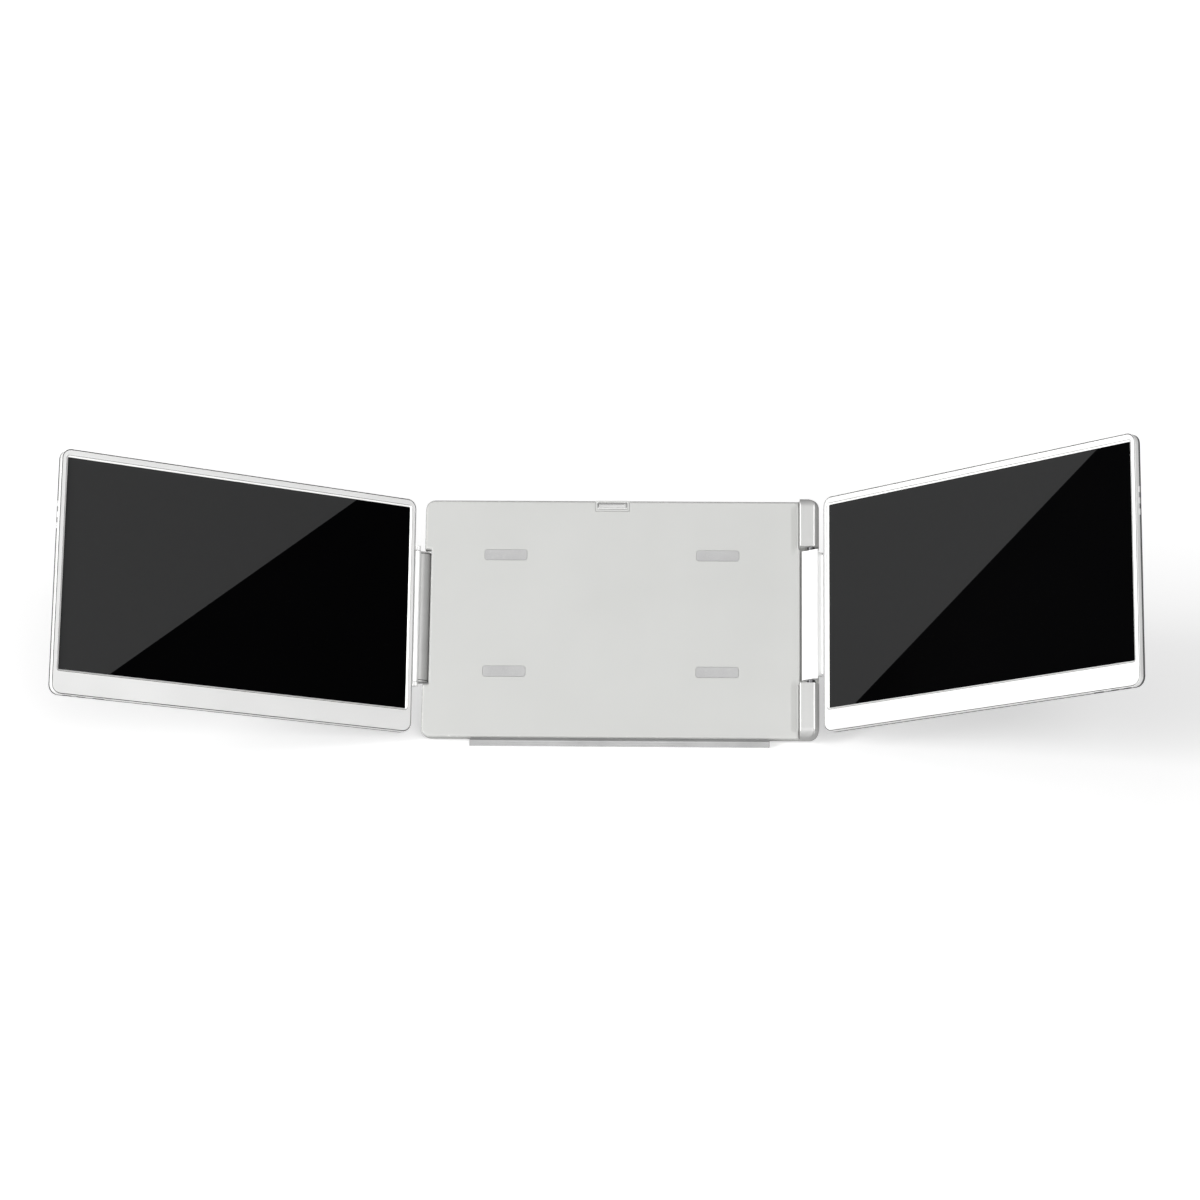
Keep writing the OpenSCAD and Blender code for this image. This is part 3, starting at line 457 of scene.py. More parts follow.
paint = dict(
    panelSilver=dict(dark=(0.360, 0.362, 0.353), light=(0.385, 0.387, 0.378), rough=(0.52, 0.60),
                     metallic=0.15, grain=1400.0, cloud=11.0, bump=0.12, wornAndHighlit=(0.66, 0.66, 0.65),
                     wearSpread=0.42),
    screenSilver=dict(dark=(0.68, 0.68, 0.675), light=(0.74, 0.74, 0.735), rough=(0.34, 0.44),
                      metallic=0.25, grain=1500.0, cloud=9.0, bump=0.10, wornAndHighlit=(0.86, 0.86, 0.85),
                      wearSpread=0.4, coat=0.2),
    shellGrey=dict(dark=(0.070, 0.070, 0.072), light=(0.092, 0.092, 0.094), rough=(0.50, 0.62),
                   grain=1300.0, cloud=9.0, bump=0.3, distance=0.00015, wornAndHighlit=(0.20, 0.20, 0.20),
                   wearSpread=0.4, specular=0.35),
    bossSilver=dict(dark=(0.36, 0.36, 0.355), light=(0.39, 0.39, 0.385), rough=(0.50, 0.58),
                    metallic=0.25, grain=1500.0, cloud=18.0, bump=0.10, wornAndHighlit=(0.80, 0.80, 0.79),
                    wearSpread=0.5),
    leafWhite=dict(dark=(0.74, 0.74, 0.735), light=(0.80, 0.80, 0.795), rough=(0.34, 0.42),
                   metallic=0.15, grain=1500.0, cloud=12.0, bump=0.08, wornAndHighlit=(0.88, 0.88, 0.87),
                   wearSpread=0.4, coat=0.2),
    hookSteel=dict(dark=(0.42, 0.42, 0.415), light=(0.45, 0.45, 0.445), rough=(0.34, 0.42),
                   metallic=0.35, grain=1600.0, cloud=30.0, bump=0.08, wornAndHighlit=(0.75, 0.75, 0.74),
                   wearSpread=0.45),
    armSteel=dict(dark=(0.36, 0.36, 0.355), light=(0.42, 0.42, 0.415), rough=(0.36, 0.46), metallic=0.4,
                  brushed=(2600.0, 2600.0, 24.0), bump=0.06, wornAndHighlit=(0.68, 0.68, 0.67), wearSpread=0.4),
    steel=dict(dark=(0.50, 0.50, 0.51), light=(0.62, 0.62, 0.63), rough=(0.22, 0.34), metallic=1.0,
               brushed=(2200.0, 2200.0, 30.0), bump=0.08),
    darkSteel=dict(dark=(0.10, 0.10, 0.105), light=(0.16, 0.16, 0.165), rough=(0.30, 0.42),
                   metallic=1.0, grain=2600.0, cloud=60.0, bump=0.06, wornAndHighlit=(0.34, 0.34, 0.34),
                   wearSpread=0.45),
    standAluminium=dict(dark=(0.52, 0.52, 0.52), light=(0.62, 0.62, 0.62), rough=(0.30, 0.42),
                        metallic=0.85, brushed=(24.0, 2600.0, 2600.0), bump=0.12,
                        wornAndHighlit=(0.78, 0.78, 0.77), wearSpread=0.4),
    rubber=dict(dark=(0.020, 0.020, 0.021), light=(0.034, 0.034, 0.035), rough=(0.62, 0.80),
                grain=2600.0, cloud=40.0, bump=0.35, distance=0.0002, wornAndHighlit=(0.09, 0.09, 0.09),
                wearSpread=0.5, sheen=0.1, specular=0.35),
    padRubber=dict(dark=(0.27, 0.27, 0.27), light=(0.33, 0.33, 0.33), rough=(0.6, 0.75), grain=2400.0,
                   cloud=40.0, bump=0.3, distance=0.0002, wornAndHighlit=(0.42, 0.42, 0.42), wearSpread=0.45,
                   specular=0.4),
    displayCell=dict(dark=(0.010, 0.011, 0.013), light=(0.016, 0.017, 0.020), rough=(0.25, 0.35),
                     grain=2600.0),
    lightGuide=dict(dark=(0.78, 0.79, 0.80), light=(0.86, 0.87, 0.88), rough=(0.30, 0.45),
                    grain=2000.0),
    circuitBoard=dict(dark=(0.010, 0.075, 0.035), light=(0.018, 0.115, 0.052), rough=(0.30, 0.42),
                      grain=1800.0, cloud=120.0, coat=0.4),
    speakerBlack=dict(dark=(0.018, 0.018, 0.018), light=(0.03, 0.03, 0.03), rough=(0.5, 0.65),
                      grain=2200.0, bump=0.2),
    portSteel=dict(dark=(0.44, 0.44, 0.45), light=(0.56, 0.56, 0.57), rough=(0.20, 0.30), metallic=1.0,
                   grain=2000.0, cloud=80.0, bump=0.04),
)
finishes = {name: finish(name, **values) for name, values in paint.items()}
print("materials made")

# screens, drawn for the right one and mirrored for the left

ports = dict(places=((335.4, 9.0, 1.2), (322.4, 9.0, 1.2), (304.4, 11.2, 0.7)), depth=2.6, thick=3.2, gap=0.1,
             inner=6.0)
buttons = dict(names=("minus", "plus", "power"), heights=(150.0, 160.0, 170.0), length=6.0, thick=2.2,
               depth=3.2, out=0.5, inner=1.8, round=0.95, gap=0.3, pocket=3.2, pocketRound=0.9)
vents = dict(count=8, pitch=3.2, width=1.4, height=9.0, low=7.0, side=60.0, round=0.68, flare=0.35)
caseScrews = dict(xs=(16.0, 286.4), zs=(8.0, 220.0), head=1.9, seat=0.7, play=0.12)

caseCorners = rectangle(0, 0, screen["width"], screen["height"], screen["corner"])
picture = rectangle(screen["side"], screen["bottom"], screen["width"] - screen["side"],
                    screen["height"] - screen["top"], 0.9)


def edgeCutters():
    # the sockets in the case's lower edge and the buttons in its outer one
    w, gap = screen["width"], ports["gap"]
    front, back = ports["depth"] - gap, ports["depth"] + ports["thick"] + gap
    made = [block(x - gap, front, -1, x + wide + gap, back, ports["inner"], r, axis="Z")
            for x, wide, r in ports["places"]]
    gap = buttons["gap"]
    front, back = buttons["depth"] - gap, buttons["depth"] + buttons["thick"] + gap
    for z in buttons["heights"]:
        made.append(block(w - buttons["pocket"], front, z - gap, w + 1, back, z + buttons["length"] + gap,
                          buttons["pocketRound"], axis="X"))
    return made


def frontFrame():
    # a side wall, a rim, a fine groove painted dark as shade, the face, and a bevel down to the glass painted
    # bright, partly a polished cut and partly a painted highlight; the seam, the groove at the bevel's top
    # and the bevel's foot at the glass are painted dark as shade
    d, e, rim, deep = screen["glassAt"], screen["bevel"], screen["rim"], screen["lineDeep"]
    face, inner = rim + screen["line"], screen["wall"] + 0.8
    rows = [(caseCorners, 0.3, screen["seam"], -1.0), (caseCorners, 0.0, screen["seam"] - 0.3, 0.3),
            (caseCorners, 0.0, screen["seam"] - 0.8, 0.0)]
    rows += [(caseCorners, i, y, w) for i, y, w in edgeRows(0, screen["edge"], 1)]
    rows += [(caseCorners, rim, 0.0, 0.6), (caseCorners, rim + 0.03, deep, -1.0),
             (caseCorners, face - 0.03, deep, -1.0), (caseCorners, face, 0.0, 0.5),
             (caseCorners, face + 0.6, 0.0, 0.0), (picture, -e - 0.9, 0.0, 0.0),
             (picture, -e - 0.35, 0.0, 0.3), (picture, -e - 0.3, 0.25, -1.0),
             (picture, -e, 0.25, -1.0), (picture, -e + 0.05, 0.0, 2.0), (picture, -0.12, d * 0.75, 2.0),
             (picture, 0.0, d * 0.8, -0.5), (picture, 0.0, d, -1.0), (picture, -1.4, d, 0.0),
             (caseCorners, inner, d, 0.0), (caseCorners, inner, screen["seam"], 0.0)]
    return cut(hoop("frame", rows), edgeCutters())


def rearShell():
    w, s = screen["wall"], screen["seam"]
    back = screen["depth"]
    # the step at the seam is painted dark as shade
    rows = [(w + 0.2, back - w, 0.0), (w, back - w - 0.2, 0.0), (w, s, 0.0),
            (0.4, s, -1.0), (0.4, s + 0.25, -1.0), (0.0, s + 0.45, 0.0)]
    rows += edgeRows(back, screen["backEdge"], -1, steps=6, fade=0.3)
    shell = slab("shell", caseCorners, rows)
    cutters = edgeCutters()
    centre = screen["width"] / 2
    for side in (-1, 1):
        for i in range(vents["count"]):
            x = centre + side * vents["side"] + (i - vents["count"] / 2) * vents["pitch"]
            z = vents["low"]
            high, far, wide = z + vents["height"], x + vents["width"], vents["flare"]
            cutters.append(block(x, s + 1, z, far, back + 1, high, vents["round"], 0.05))
            cutters.append(slab("flare", rectangle(x - wide, z - wide, far + wide, high + wide, 1.0),
                                [(wide, back - 0.4, 0), (0.0, back, 0), (0.0, back + 0.3, 0)], 5))
    for x in caseScrews["xs"]:
        for z in caseScrews["zs"]:
            r = caseScrews["head"]
            rows = [(0.0, back - caseScrews["seat"], 0), (0.0, back - 0.15, 0), (-0.25, back + 0.2, 0)]
            cutters.append(slab("screwSeat", rectangle(x - r, z - r, x + r, z + r, r), rows, 8))
    return cut(shell, cutters)


def screwHead(r, depth, deep):
    # a flat cross-recess head seen from the back, its face at the depth given
    head = slab("head", rectangle(-r, -r, r, r, r), [(0.25, depth - deep, 0), (0.05, depth - 0.25, 0.3),
                                                     (0.12, depth - 0.08, 1.0), (0.35, depth, 0.6)], 8)
    arm, half = r * 0.55, r * 0.16
    cross = [block(-arm, depth - deep * 0.7, -half, arm, depth + 1, half, 0.05, 0.03),
             block(-half, depth - deep * 0.7, -arm, half, depth + 1, arm, 0.05, 0.03)]
    return cut(head, cross)


def manyOf(made, spots):
    # one object that holds a copy of the piece at each spot
    source = made.data
    whole = bmesh.new()
    for x, y, z in spots:
        copy = source.copy()
        copy.transform(Matrix.Translation((x, y, z)))
        whole.from_mesh(copy)
        bpy.data.meshes.remove(copy)
    data = bpy.data.meshes.new(made.name)
    whole.to_mesh(data)
    whole.free()
    made.data = data
    bpy.data.meshes.remove(source)
    return made


def buttonCap(z):
    # a pill with a slightly dished face
    w, front = screen["width"] + buttons["out"], buttons["depth"]
    rows = [(0.0, buttons["inner"] - w, 0.0), (0.0, 0.35 - w, 0.4), (0.1, 0.12 - w, 1.0), (0.3, -w, 0.8),
            (0.62, 0.1 - w, 0.1)]
    pill = rectangle(front, z, front + buttons["thick"], z + buttons["length"], buttons["round"])
    return swapAxes(slab("cap", pill, rows), "X")


hinges = dict(left=(leftHinge, -1), right=(rightHinge, 1))


def screenPiece(word, made, title, finishName, nodeName, body="screen"):
    # a piece of one screen, mirrored for the left one
    hinge, side = hinges[word]
    place(made, word + title, casePlace(hinge, side), word + "_" + body, finishes[finishName],
          [word + "_" + nodeName], mirrored=side < 0)


for word in hinges:
    screenPiece(word, frontFrame(), "Frame", "screenSilver", "front_frame")
    screenPiece(word, rearShell(), "Shell", "shellGrey", "rear_shell")
    seats = [(x, 0, z) for x in caseScrews["xs"] for z in caseScrews["zs"]]
    head = screwHead(caseScrews["head"] - caseScrews["play"], screen["depth"] - 0.25, 0.5)
    screenPiece(word, manyOf(head, seats), "CaseScrews", "darkSteel", "case_screws")
    for name, z in zip(buttons["names"], buttons["heights"]):
        screenPiece(word, buttonCap(z), name.capitalize() + "Button", "screenSilver", name + "_button",
                    name + "_button")
print("screens made")

# centre panel

clip = dict(x=-9.1, width=32.0, low=10.2, deep=6.0, gap=0.2, stem=24.0, stemLow=171.8, stemFront=2.4)
hook = dict(width=28.0, low=220.0, high=225.9, pocketLow=219.7, pocketHigh=226.1, pocketDeep=4.3)
recess = dict(left=168.2, deep=3.0, low=51.0, high=181.3)
cove = dict(left=158.4, right=167.1, deep=1.3, end=0.4, lip=0.05, crest=0.82,
            spans=((4.0, 10.0, 50.0, 58.0), (174.0, 183.0, 220.0, 226.0)))
pads = dict(xs=(-129.1, 70.9), zs=(58.0, 170.0), width=40.0, height=10.0, proud=0.2)
stand = dict(pinUp=138.9, pinDeep=9.7, angle=43.984, length=132.0, width=150.0, thick=2.4, knuckle=2.0,
             foot=1.9, pocketLow=4.0, pocketTop=141.9, pocketDeep=4.6, margin=1.0, lug=6.0, lugLow=131.9,
             windowWidth=70.0, windowLow=28.0, windowHigh=62.0, windowRound=8.0, finger=12.0)
panelScrews = dict(xs=(-172.0, -88.0, 88.0, 157.8), zs=(12.0, 216.0), head=2.4, seat=1.2, play=0.15)
grip = dict(half=13.2, low=221.2, high=224.6)
footStrip = dict(width=280.0, depth=18.0, high=5.86, rear=1.0, step=-0.95)


def panelCorners(off=0.0, right=None, r=None):
    # the panel's outline with its left notch, drawn off from it
    half, n, c = panel["width"] / 2, panel["notchIn"], panel["notchCorner"]
    right = half - off if right is None else right
    r = panel["corner"] - off if r is None else r
    left, top = -half + off, panel["height"] - off
    low, high = panel["notchLow"] - off, panel["notchHigh"] + off
    return [(left, off, r), (right, off, r), (right, top, r), (left, top, r),
            (left, high, c), (left + n, high, c), (left + n, low, c), (left, low, c)]


def flareRows(face, deep, wide=0.4, inset=0.0):
    # a cutter's rows whose mouth widens at the face
    return [(inset, face + deep, 0), (inset, face + wide * 0.9, 0), (inset - wide, face, 0),
            (inset - wide, face - 1, 0)]


def coveCutter(span):
    # a hollow beside a boss that deepens towards it and runs out at both ends
    skin = Skin()
    rings = []
    for z, share in zip(span, (0.0, 1.0, 1.0, 0.0)):
        ring = [(cove["right"], -2.0, z), (cove["left"], -2.0, z)]
        for k in range(13):
            t = k / 12
            rise = 0.5 - 0.5 * math.cos(math.pi * min(t / cove["crest"], 1.0))
            if t > cove["crest"]:
                rise = cove["end"] + (1 - cove["end"]) * (1 - t) / (1 - cove["crest"])
            ring.append((cove["left"] + (cove["right"] - cove["left"]) * t,
                         (cove["deep"] + cove["lip"]) * share * rise - cove["lip"], z))
        rings.append(skin.ring(ring))
    skin.join(rings)
    return skin.piece("cove")


def panelFront():
    outer, inner = panelCorners(), panelCorners(panel["wall"], panel["innerRight"])
    rows = [(inner, 0.0, panel["wall"], 0.0), (inner, 0.0, panel["seam"], 0.0),
            (outer, 0.3, panel["seam"], 0.2), (outer, 0.0, panel["seam"] - 0.3, 0.6)]
    rows += [(outer, i, y, w) for i, y, w in edgeRows(0, panel["edge"], 1, steps=6, fade=0.8)]
    cover = hoop("cover", rows, closed=False)
    half, z0 = clip["width"] / 2 + clip["gap"], panel["height"] - clip["low"] - clip["gap"]
    cutters = [slab("window", rectangle(clip["x"] - half, z0, clip["x"] + half, panel["height"] + 12, 0.6),
                    flareRows(0, clip["deep"] + 0.4, 0.12)),
               slab("recess", rectangle(recess["left"], recess["low"], 200, recess["high"], 0.6),
                    flareRows(0, recess["deep"], 0.4))]
    # grooves beside the bosses, painted dark as shade
    for low, high in ((-9, recess["low"] + 0.3), (recess["high"] - 0.3, panel["height"] + 9)):
        cutters.append(slab("groove", rectangle(166.9, low, 168.4, high, 0.3),
                            [(0, 1.6, -1), (0, 0.5, -1), (-0.1, -0.2, -0.3), (-0.1, -1, 0)]))
    cutters += [coveCutter(span) for span in cove["spans"]]
    for x in pads["xs"]:
        for z in pads["zs"]:
            cutters.append(slab("pocket", rectangle(x, z, x + pads["width"], z + pads["height"], 2.2),
                                flareRows(0, 1.0, 0.25, inset=-0.1)))
    return cut(cover, cutters)


def panelBack():
    outer, inner = panelCorners(), panelCorners(panel["wall"], panel["innerRight"])
    back = panel["depth"]
    rows = [(inner, 0.0, back - panel["wall"], 0.0), (inner, 0.0, panel["seam"], 0.0),
            (outer, 0.3, panel["seam"], 0.2), (outer, 0.0, panel["seam"] + 0.3, 0.6)]
    rows += [(outer, i, y, w) for i, y, w in edgeRows(back, panel["backEdge"], -1, steps=6, fade=0.8)]
    cover = hoop("cover", rows, closed=False)
    half = stand["width"] / 2 + stand["margin"]
    lug = half + stand["lug"]
    floor = back - stand["pocketDeep"]
    low, top, lugLow = stand["pocketLow"], stand["pocketTop"], stand["lugLow"]
    unite(cover, [block(-half - 1.5, floor - 1.5, low - 1.5, half + 1.5, back - 1.5, top + 1.5, 1.5),
                  block(-lug - 1.5, floor - 1.5, lugLow - 1.5, lug + 1.5, back - 1.6, top + 1.4, 1.5)])
    finger = stand["finger"]
    dip = [(1.4, back - 1.8, 0), (0.5, back - 1.6, 0), (0.0, back - 0.6, 0), (-0.5, back, 0),
           (-0.5, back + 1, 0)]
    cutters = [slab("pocket", rectangle(-half, low, half, top, 1.2),
                    mirrorRows(flareRows(-back, back - floor, 0.5))),
               slab("lugs", rectangle(-lug, lugLow, lug, top, 1.0),
                    mirrorRows(flareRows(-back, back - floor - 0.02, 0.45))),
               slab("finger", rectangle(-finger, low - finger, finger, low + finger, finger - 0.1), dip, 10)]
    for x in panelScrews["xs"]:
        for z in panelScrews["zs"]:
            r = panelScrews["head"]
            rows = [(0.0, back - panelScrews["seat"], 0), (0.0, back - 0.25, 0), (-0.3, back + 0.05, 0),
                    (-0.3, back + 1, 0)]
            cutters.append(slab("seat", rectangle(x - r, z - r, x + r, z + r, r - 0.02), rows, 8))
    return cut(cover, cutters)


def mirrorRows(rows):
    return [(i, -y, w) for i, y, w in rows]


boss = dict(left=167.8, right=186.0, front=-17.0, foot=2.3, flat=12.3, edge=0.55, endRound=8.5,
            cornerRound=9.0, high=46.7, low=51.0)


def bossPlan():
    # the boss seen from above: a flat front, a crisp edge and a curved slope at the outer side
    left, right, front, foot, edge = boss["left"], boss["right"], boss["front"], boss["foot"], boss["edge"]
    flat = left + boss["flat"]
    points = [(left, -7.0), (left, front + 1.4)] + arc(left + edge, front + edge, edge, 180, 270, 4)
    points += [(left + 1.4, front), (flat, front), (flat + 0.8, front), (flat + 1.25, front + 0.1),
               (flat + 1.6, front + 0.38)]
    p0, p1 = (flat + 1.8, front + 0.62), (flat + 3.8, front + 2.6)
    p2, p3 = (right, front + 5.5), (right, front + 9.5)
    for k in range(1, 11):
        t = k / 10
        points.append(tuple((1 - t) ** 3 * a + 3 * t * (1 - t) ** 2 * b + 3 * t * t * (1 - t) * c + t ** 3 * d
                            for a, b, c, d in zip(p0, p1, p2, p3)))
    return points + [(right, foot), (left, foot)]


def bossSkin(height, baseZ, up):
    # rings from the inner end to the far end, whose front and outer corner are rounded
    left, foot, endRound, cornerRound = boss["left"], boss["foot"], boss["endRound"], boss["cornerRound"]
    width, depth = boss["right"] - left, foot - boss["front"]
    plan = bossPlan()
    skin = Skin()
    rings = []
    levels = [(0.45, 0.0), (0.13, 0.13), (0.0, 0.45), (0.0, height * 0.4), (0.0, height - cornerRound - 2)]
    levels += [(0.0, height - cornerRound * (1 - math.sin(math.pi / 2 * k / 12))) for k in range(13)]
    for inset, z in levels:
        over = max(0.0, z - (height - endRound)) / endRound
        back = endRound * (1 - math.sqrt(max(0.0, 1 - over * over)))
        overCorner = max(0.0, z - (height - cornerRound)) / cornerRound
        narrow = cornerRound * (1 - math.sqrt(max(0.0, 1 - overCorner * overCorner)))
        wide = (width - narrow - inset * 2) / width
        deep = (depth - back - inset) / depth
        ring = [(left + inset + (x - left) * wide, foot - (foot - y) * deep, baseZ + up * z) for x, y in plan]
        rings.append(skin.ring(ring, 1.0 if inset else 0.0))
    skin.join(rings)
    # the boss's left front edge and the crisp edge of its slope are painted bright as highlights
    crest = left + boss["flat"] + 1.2
    for v in skin.mesh.verts:
        besideLeaf = v.co.x < left + 0.6 and v.co.y < boss["front"] + 1
        besideSlope = abs(v.co.x - crest) < 0.5 and v.co.y < boss["front"] + 3
        if besideLeaf or besideSlope:
            v[skin.wearAndPaintedLight] = 2.0
    return skin.piece("boss")


def softPlan(points, r, steps=4):
    # rounds the corners of a plan outline
    made = []
    for i in range(len(points)):
        a, b, c = Vector(points[i - 1]), Vector(points[i]), Vector(points[(i + 1) % len(points)])
        start = b + (a - b).normalized() * r
        end = b + (c - b).normalized() * r
        for k in range(steps + 1):
            t = k / steps
            p = start * (1 - t) ** 2 + b * 2 * t * (1 - t) + end * t * t
            made.append((p.x, p.y))
    return made


def alongX(piece):
    # a post's plan becomes Y and Z, and its height X
    piece.data.transform(Matrix(((0, 0, 1, 0), (1, 0, 0, 0), (0, 1, 0, 0), (0, 0, 0, 1))))
    return piece


def clipTab():
    x, half, stemHalf = clip["x"], clip["width"] / 2, clip["stem"] / 2
    top, base = panel["height"], panel["height"] - clip["low"]
    tab = slab("tab", rectangle(x - half, base, x + half, top, 0.7), slabRows(0, clip["deep"], 0.25, 0.4))
    stem = slab("stem", rectangle(x - stemHalf, clip["stemLow"], x + stemHalf, base + 1, 1.0),
                slabRows(clip["stemFront"], clip["deep"] - 0.02, 0.3, 0.3))
    unite(tab, [stem])
    h = hook["width"] / 2 + clip["gap"]
    mouth = rectangle(x - h, hook["pocketLow"], x + h, hook["pocketHigh"], 0.5)
    return cut(tab, [slab("pocket", mouth, flareRows(0, hook["pocketDeep"], 0.1))])


def clipHook():
    # a flush bar with a turned-in lip and a slim grip, drawn as a section along X
    low, high = hook["low"], hook["high"]
    section = [(3.8, low), (3.8, low + 1.6), (1.8, low + 1.9), (1.8, high - 1.0), (1.4, high - 0.3),
               (0.9, high), (0.4, high - 0.3), (0.05, high - 0.8), (0.0, high - 1.2), (0.0, low + 0.4),
               (0.1, low + 0.1), (0.4, low)]
    half = hook["width"] / 2
    bar = alongX(post("hook", section, clip["x"] - half, clip["x"] + half, 0.12))
    markWearAndLight(bar, lambda p: True, 0.0)
    mouth = rectangle(clip["x"] - grip["half"], grip["low"], clip["x"] + grip["half"], grip["high"], 0.9)
    # the grip's recess is painted dark as shade, its mouth bright as a highlight
    rows = [(0.75, 0.3, 0.0), (0.55, 0.34, -0.2), (0.5, 0.85, -1.0), (0.05, 0.85, -1.0), (0.0, 0.2, -0.8),
            (-0.14, 0.0, 1.6), (-0.14, -1.0, 1.6)]
    return cut(bar, [slab("grip", mouth, rows)])


def standPlate():
    half, end, t = stand["width"] / 2, -stand["length"], stand["thick"] / 2
    outer = rectangle(-half, end, half, 0, 1.2)
    w = stand["windowWidth"] / 2
    window = rectangle(-w, end + stand["windowLow"], w, end + stand["windowHigh"], stand["windowRound"])
    rows = [(outer, i, y, wearAndPaintedLight) for i, y, wearAndPaintedLight in edgeRows(-t, 0.5, 1)]
    rows += [(window, -i, y, wearAndPaintedLight) for i, y, wearAndPaintedLight in reversed(edgeRows(-t, 0.5, 1))]
    rows += [(window, -i, y, wearAndPaintedLight) for i, y, wearAndPaintedLight in edgeRows(t, 0.5, -1)]
    rows += [(outer, i, y, wearAndPaintedLight) for i, y, wearAndPaintedLight in reversed(edgeRows(t, 0.5, -1))]
    plate = hoop("plate", rows, 8)
    barrel = moved(roundBar("barrel", stand["knuckle"], stand["width"], 0.35), -half)
    unite(plate, [barrel])
    groove = moved(roundBar("groove", stand["foot"], stand["width"] + 2, 0.05, 32), -half - 1, 0, end)
    return cut(plate, [groove])


def ribbedFoot():
    # a rubber bead with fine ribs across it
    r, half, pitch = stand["foot"], stand["width"] / 2, 2.5
    rows = [(-half, r - 0.5), (-half + 0.15, r - 0.15), (-half + 0.6, r)]
    for k in range(1, int(2 * half / pitch)):
        x = -half + k * pitch
        rows += [(x - 0.35, r), (x - 0.12, r - 0.22), (x + 0.12, r - 0.22), (x + 0.35, r)]
    rows += [(half - 0.6, r), (half - 0.15, r - 0.15), (half, r - 0.5)]
    return moved(lathe("foot", rows, 24, 0.3), 0, 0, -stand["length"])


def rubberStrip():
    # the wedge under the panel, with two long grooves on its front
    d = footStrip["depth"] / 2
    section = softPlan([(-d, 0), (d, 0), (d, footStrip["rear"]), (footStrip["step"], footStrip["high"]),
                        (-d, footStrip["high"])], 0.45, 3)
    half = footStrip["width"] / 2
    strip = alongX(post("strip", section, -half, half, 0.5))
    return cut(strip, [block(-half - 1, -d - 1, z, half + 1, -d + 0.4, z + 0.6, 0.2, 0.05)
                       for z in (1.7, 3.6)])


print("panel shapes ready")


def panelPiece(made, name, finishName, nodes):
    place(made, name, panelPlace, "centre_panel", finishes[finishName], nodes)


panelPiece(panelFront(), "panelFront", "panelSilver", ["panel_front_cover"])
panelPiece(panelBack(), "panelBack", "panelSilver", ["panel_back_cover"])
panelPiece(bossSkin(boss["high"], recess["high"], 1), "upperBoss", "bossSilver", ["upper_hinge_boss"])
panelPiece(bossSkin(boss["low"], recess["low"], -1), "lowerBoss", "bossSilver", ["lower_hinge_boss"])
seats = [(x, 0, z) for x in panelScrews["xs"] for z in panelScrews["zs"]]
head = screwHead(panelScrews["head"] - panelScrews["play"], panel["depth"] - 0.4, 0.8)
panelPiece(manyOf(head, seats), "panelScrews", "darkSteel", ["panel_screws"])
padSpots = [(x, 0, z) for x in pads["xs"] for z in pads["zs"]]
padShape = slab("pad", rectangle(0, 0, pads["width"], pads["height"], 2.0),
                slabRows(-pads["proud"], 0.95, 0.2, 0.1))
panelPiece(manyOf(padShape, padSpots), "lidPads", "padRubber", ["lid_pads"])
place(rubberStrip(), "footStrip", Matrix.Identity(4), "centre_panel", finishes["padRubber"], ["foot_strip"])
place(clipTab(), "clipTab", panelPlace, "clip", finishes["panelSilver"], ["clip_tab"])
place(clipHook(), "clipHook", panelPlace, "clip_hook", finishes["hookSteel"], ["clip_hook"])

standPlace = (panelPlace @ Matrix.Translation((0, stand["pinDeep"] * mm, stand["pinUp"] * mm))
              @ Matrix.Rotation(math.radians(stand["angle"]), 4, "X"))
place(standPlate(), "kickstandPlate", standPlace, "kickstand", finishes["standAluminium"],
      ["kickstand_plate"])
place(ribbedFoot(), "kickstandFoot", standPlace, "kickstand", finishes["rubber"], ["kickstand_foot"])

# hinges

leaf = dict(left=-8.5, right=11.0, front=-4.5, thick=3.0, barrel=4.5, low=54.6, high=178.0, webBack=4.7,
            tongueFront=2.5, tongueOut=19.2, tongueEnd=5.0, line=12.9, lineWide=0.8)
arm = dict(left=-190.8, right=-180.0, front=-0.1, back=11.6, round=9.0, slot=0.8, low=52.6, high=178.0,
           barrel=2.5)


def hingeLeaf():
    r, right, low, high = leaf["thick"] / 2, leaf["right"], leaf["low"], leaf["high"]
    y, end, deep, front = leaf["front"] + r, leaf["tongueEnd"], leaf["webBack"], leaf["tongueFront"]
    plate = post("leaf", arc(right - r, y, r, -90, 90, 8) + arc(leaf["left"] + r, y, r, 90, 270, 8),
                 low, high, 0.45)
    barrel = post("barrel", arc(0, 0, leaf["barrel"], 0, 350, 35), low + 0.02, high - 0.02, 0.4)
    inner, outer = right - leaf["thick"], right - 0.02
    web = post("web", [(inner, y), (outer, y), (outer, deep), (inner, deep)], low + 2.5, high - 2.5, 0.3)
    tongue = block(right - 1, front, low + end, leaf["tongueOut"], deep - 0.02, high - end, 0.5)
    unite(plate, [barrel, web, tongue])
    # a groove across the leaf, painted dark as shade
    line = block(leaf["line"], front - 1, low - 1, leaf["line"] + leaf["lineWide"], front + 1.2, high + 1,
                 0.1, 0.05)
    return cut(plate, [markWearAndLight(line, lambda p: True, -1.0)])


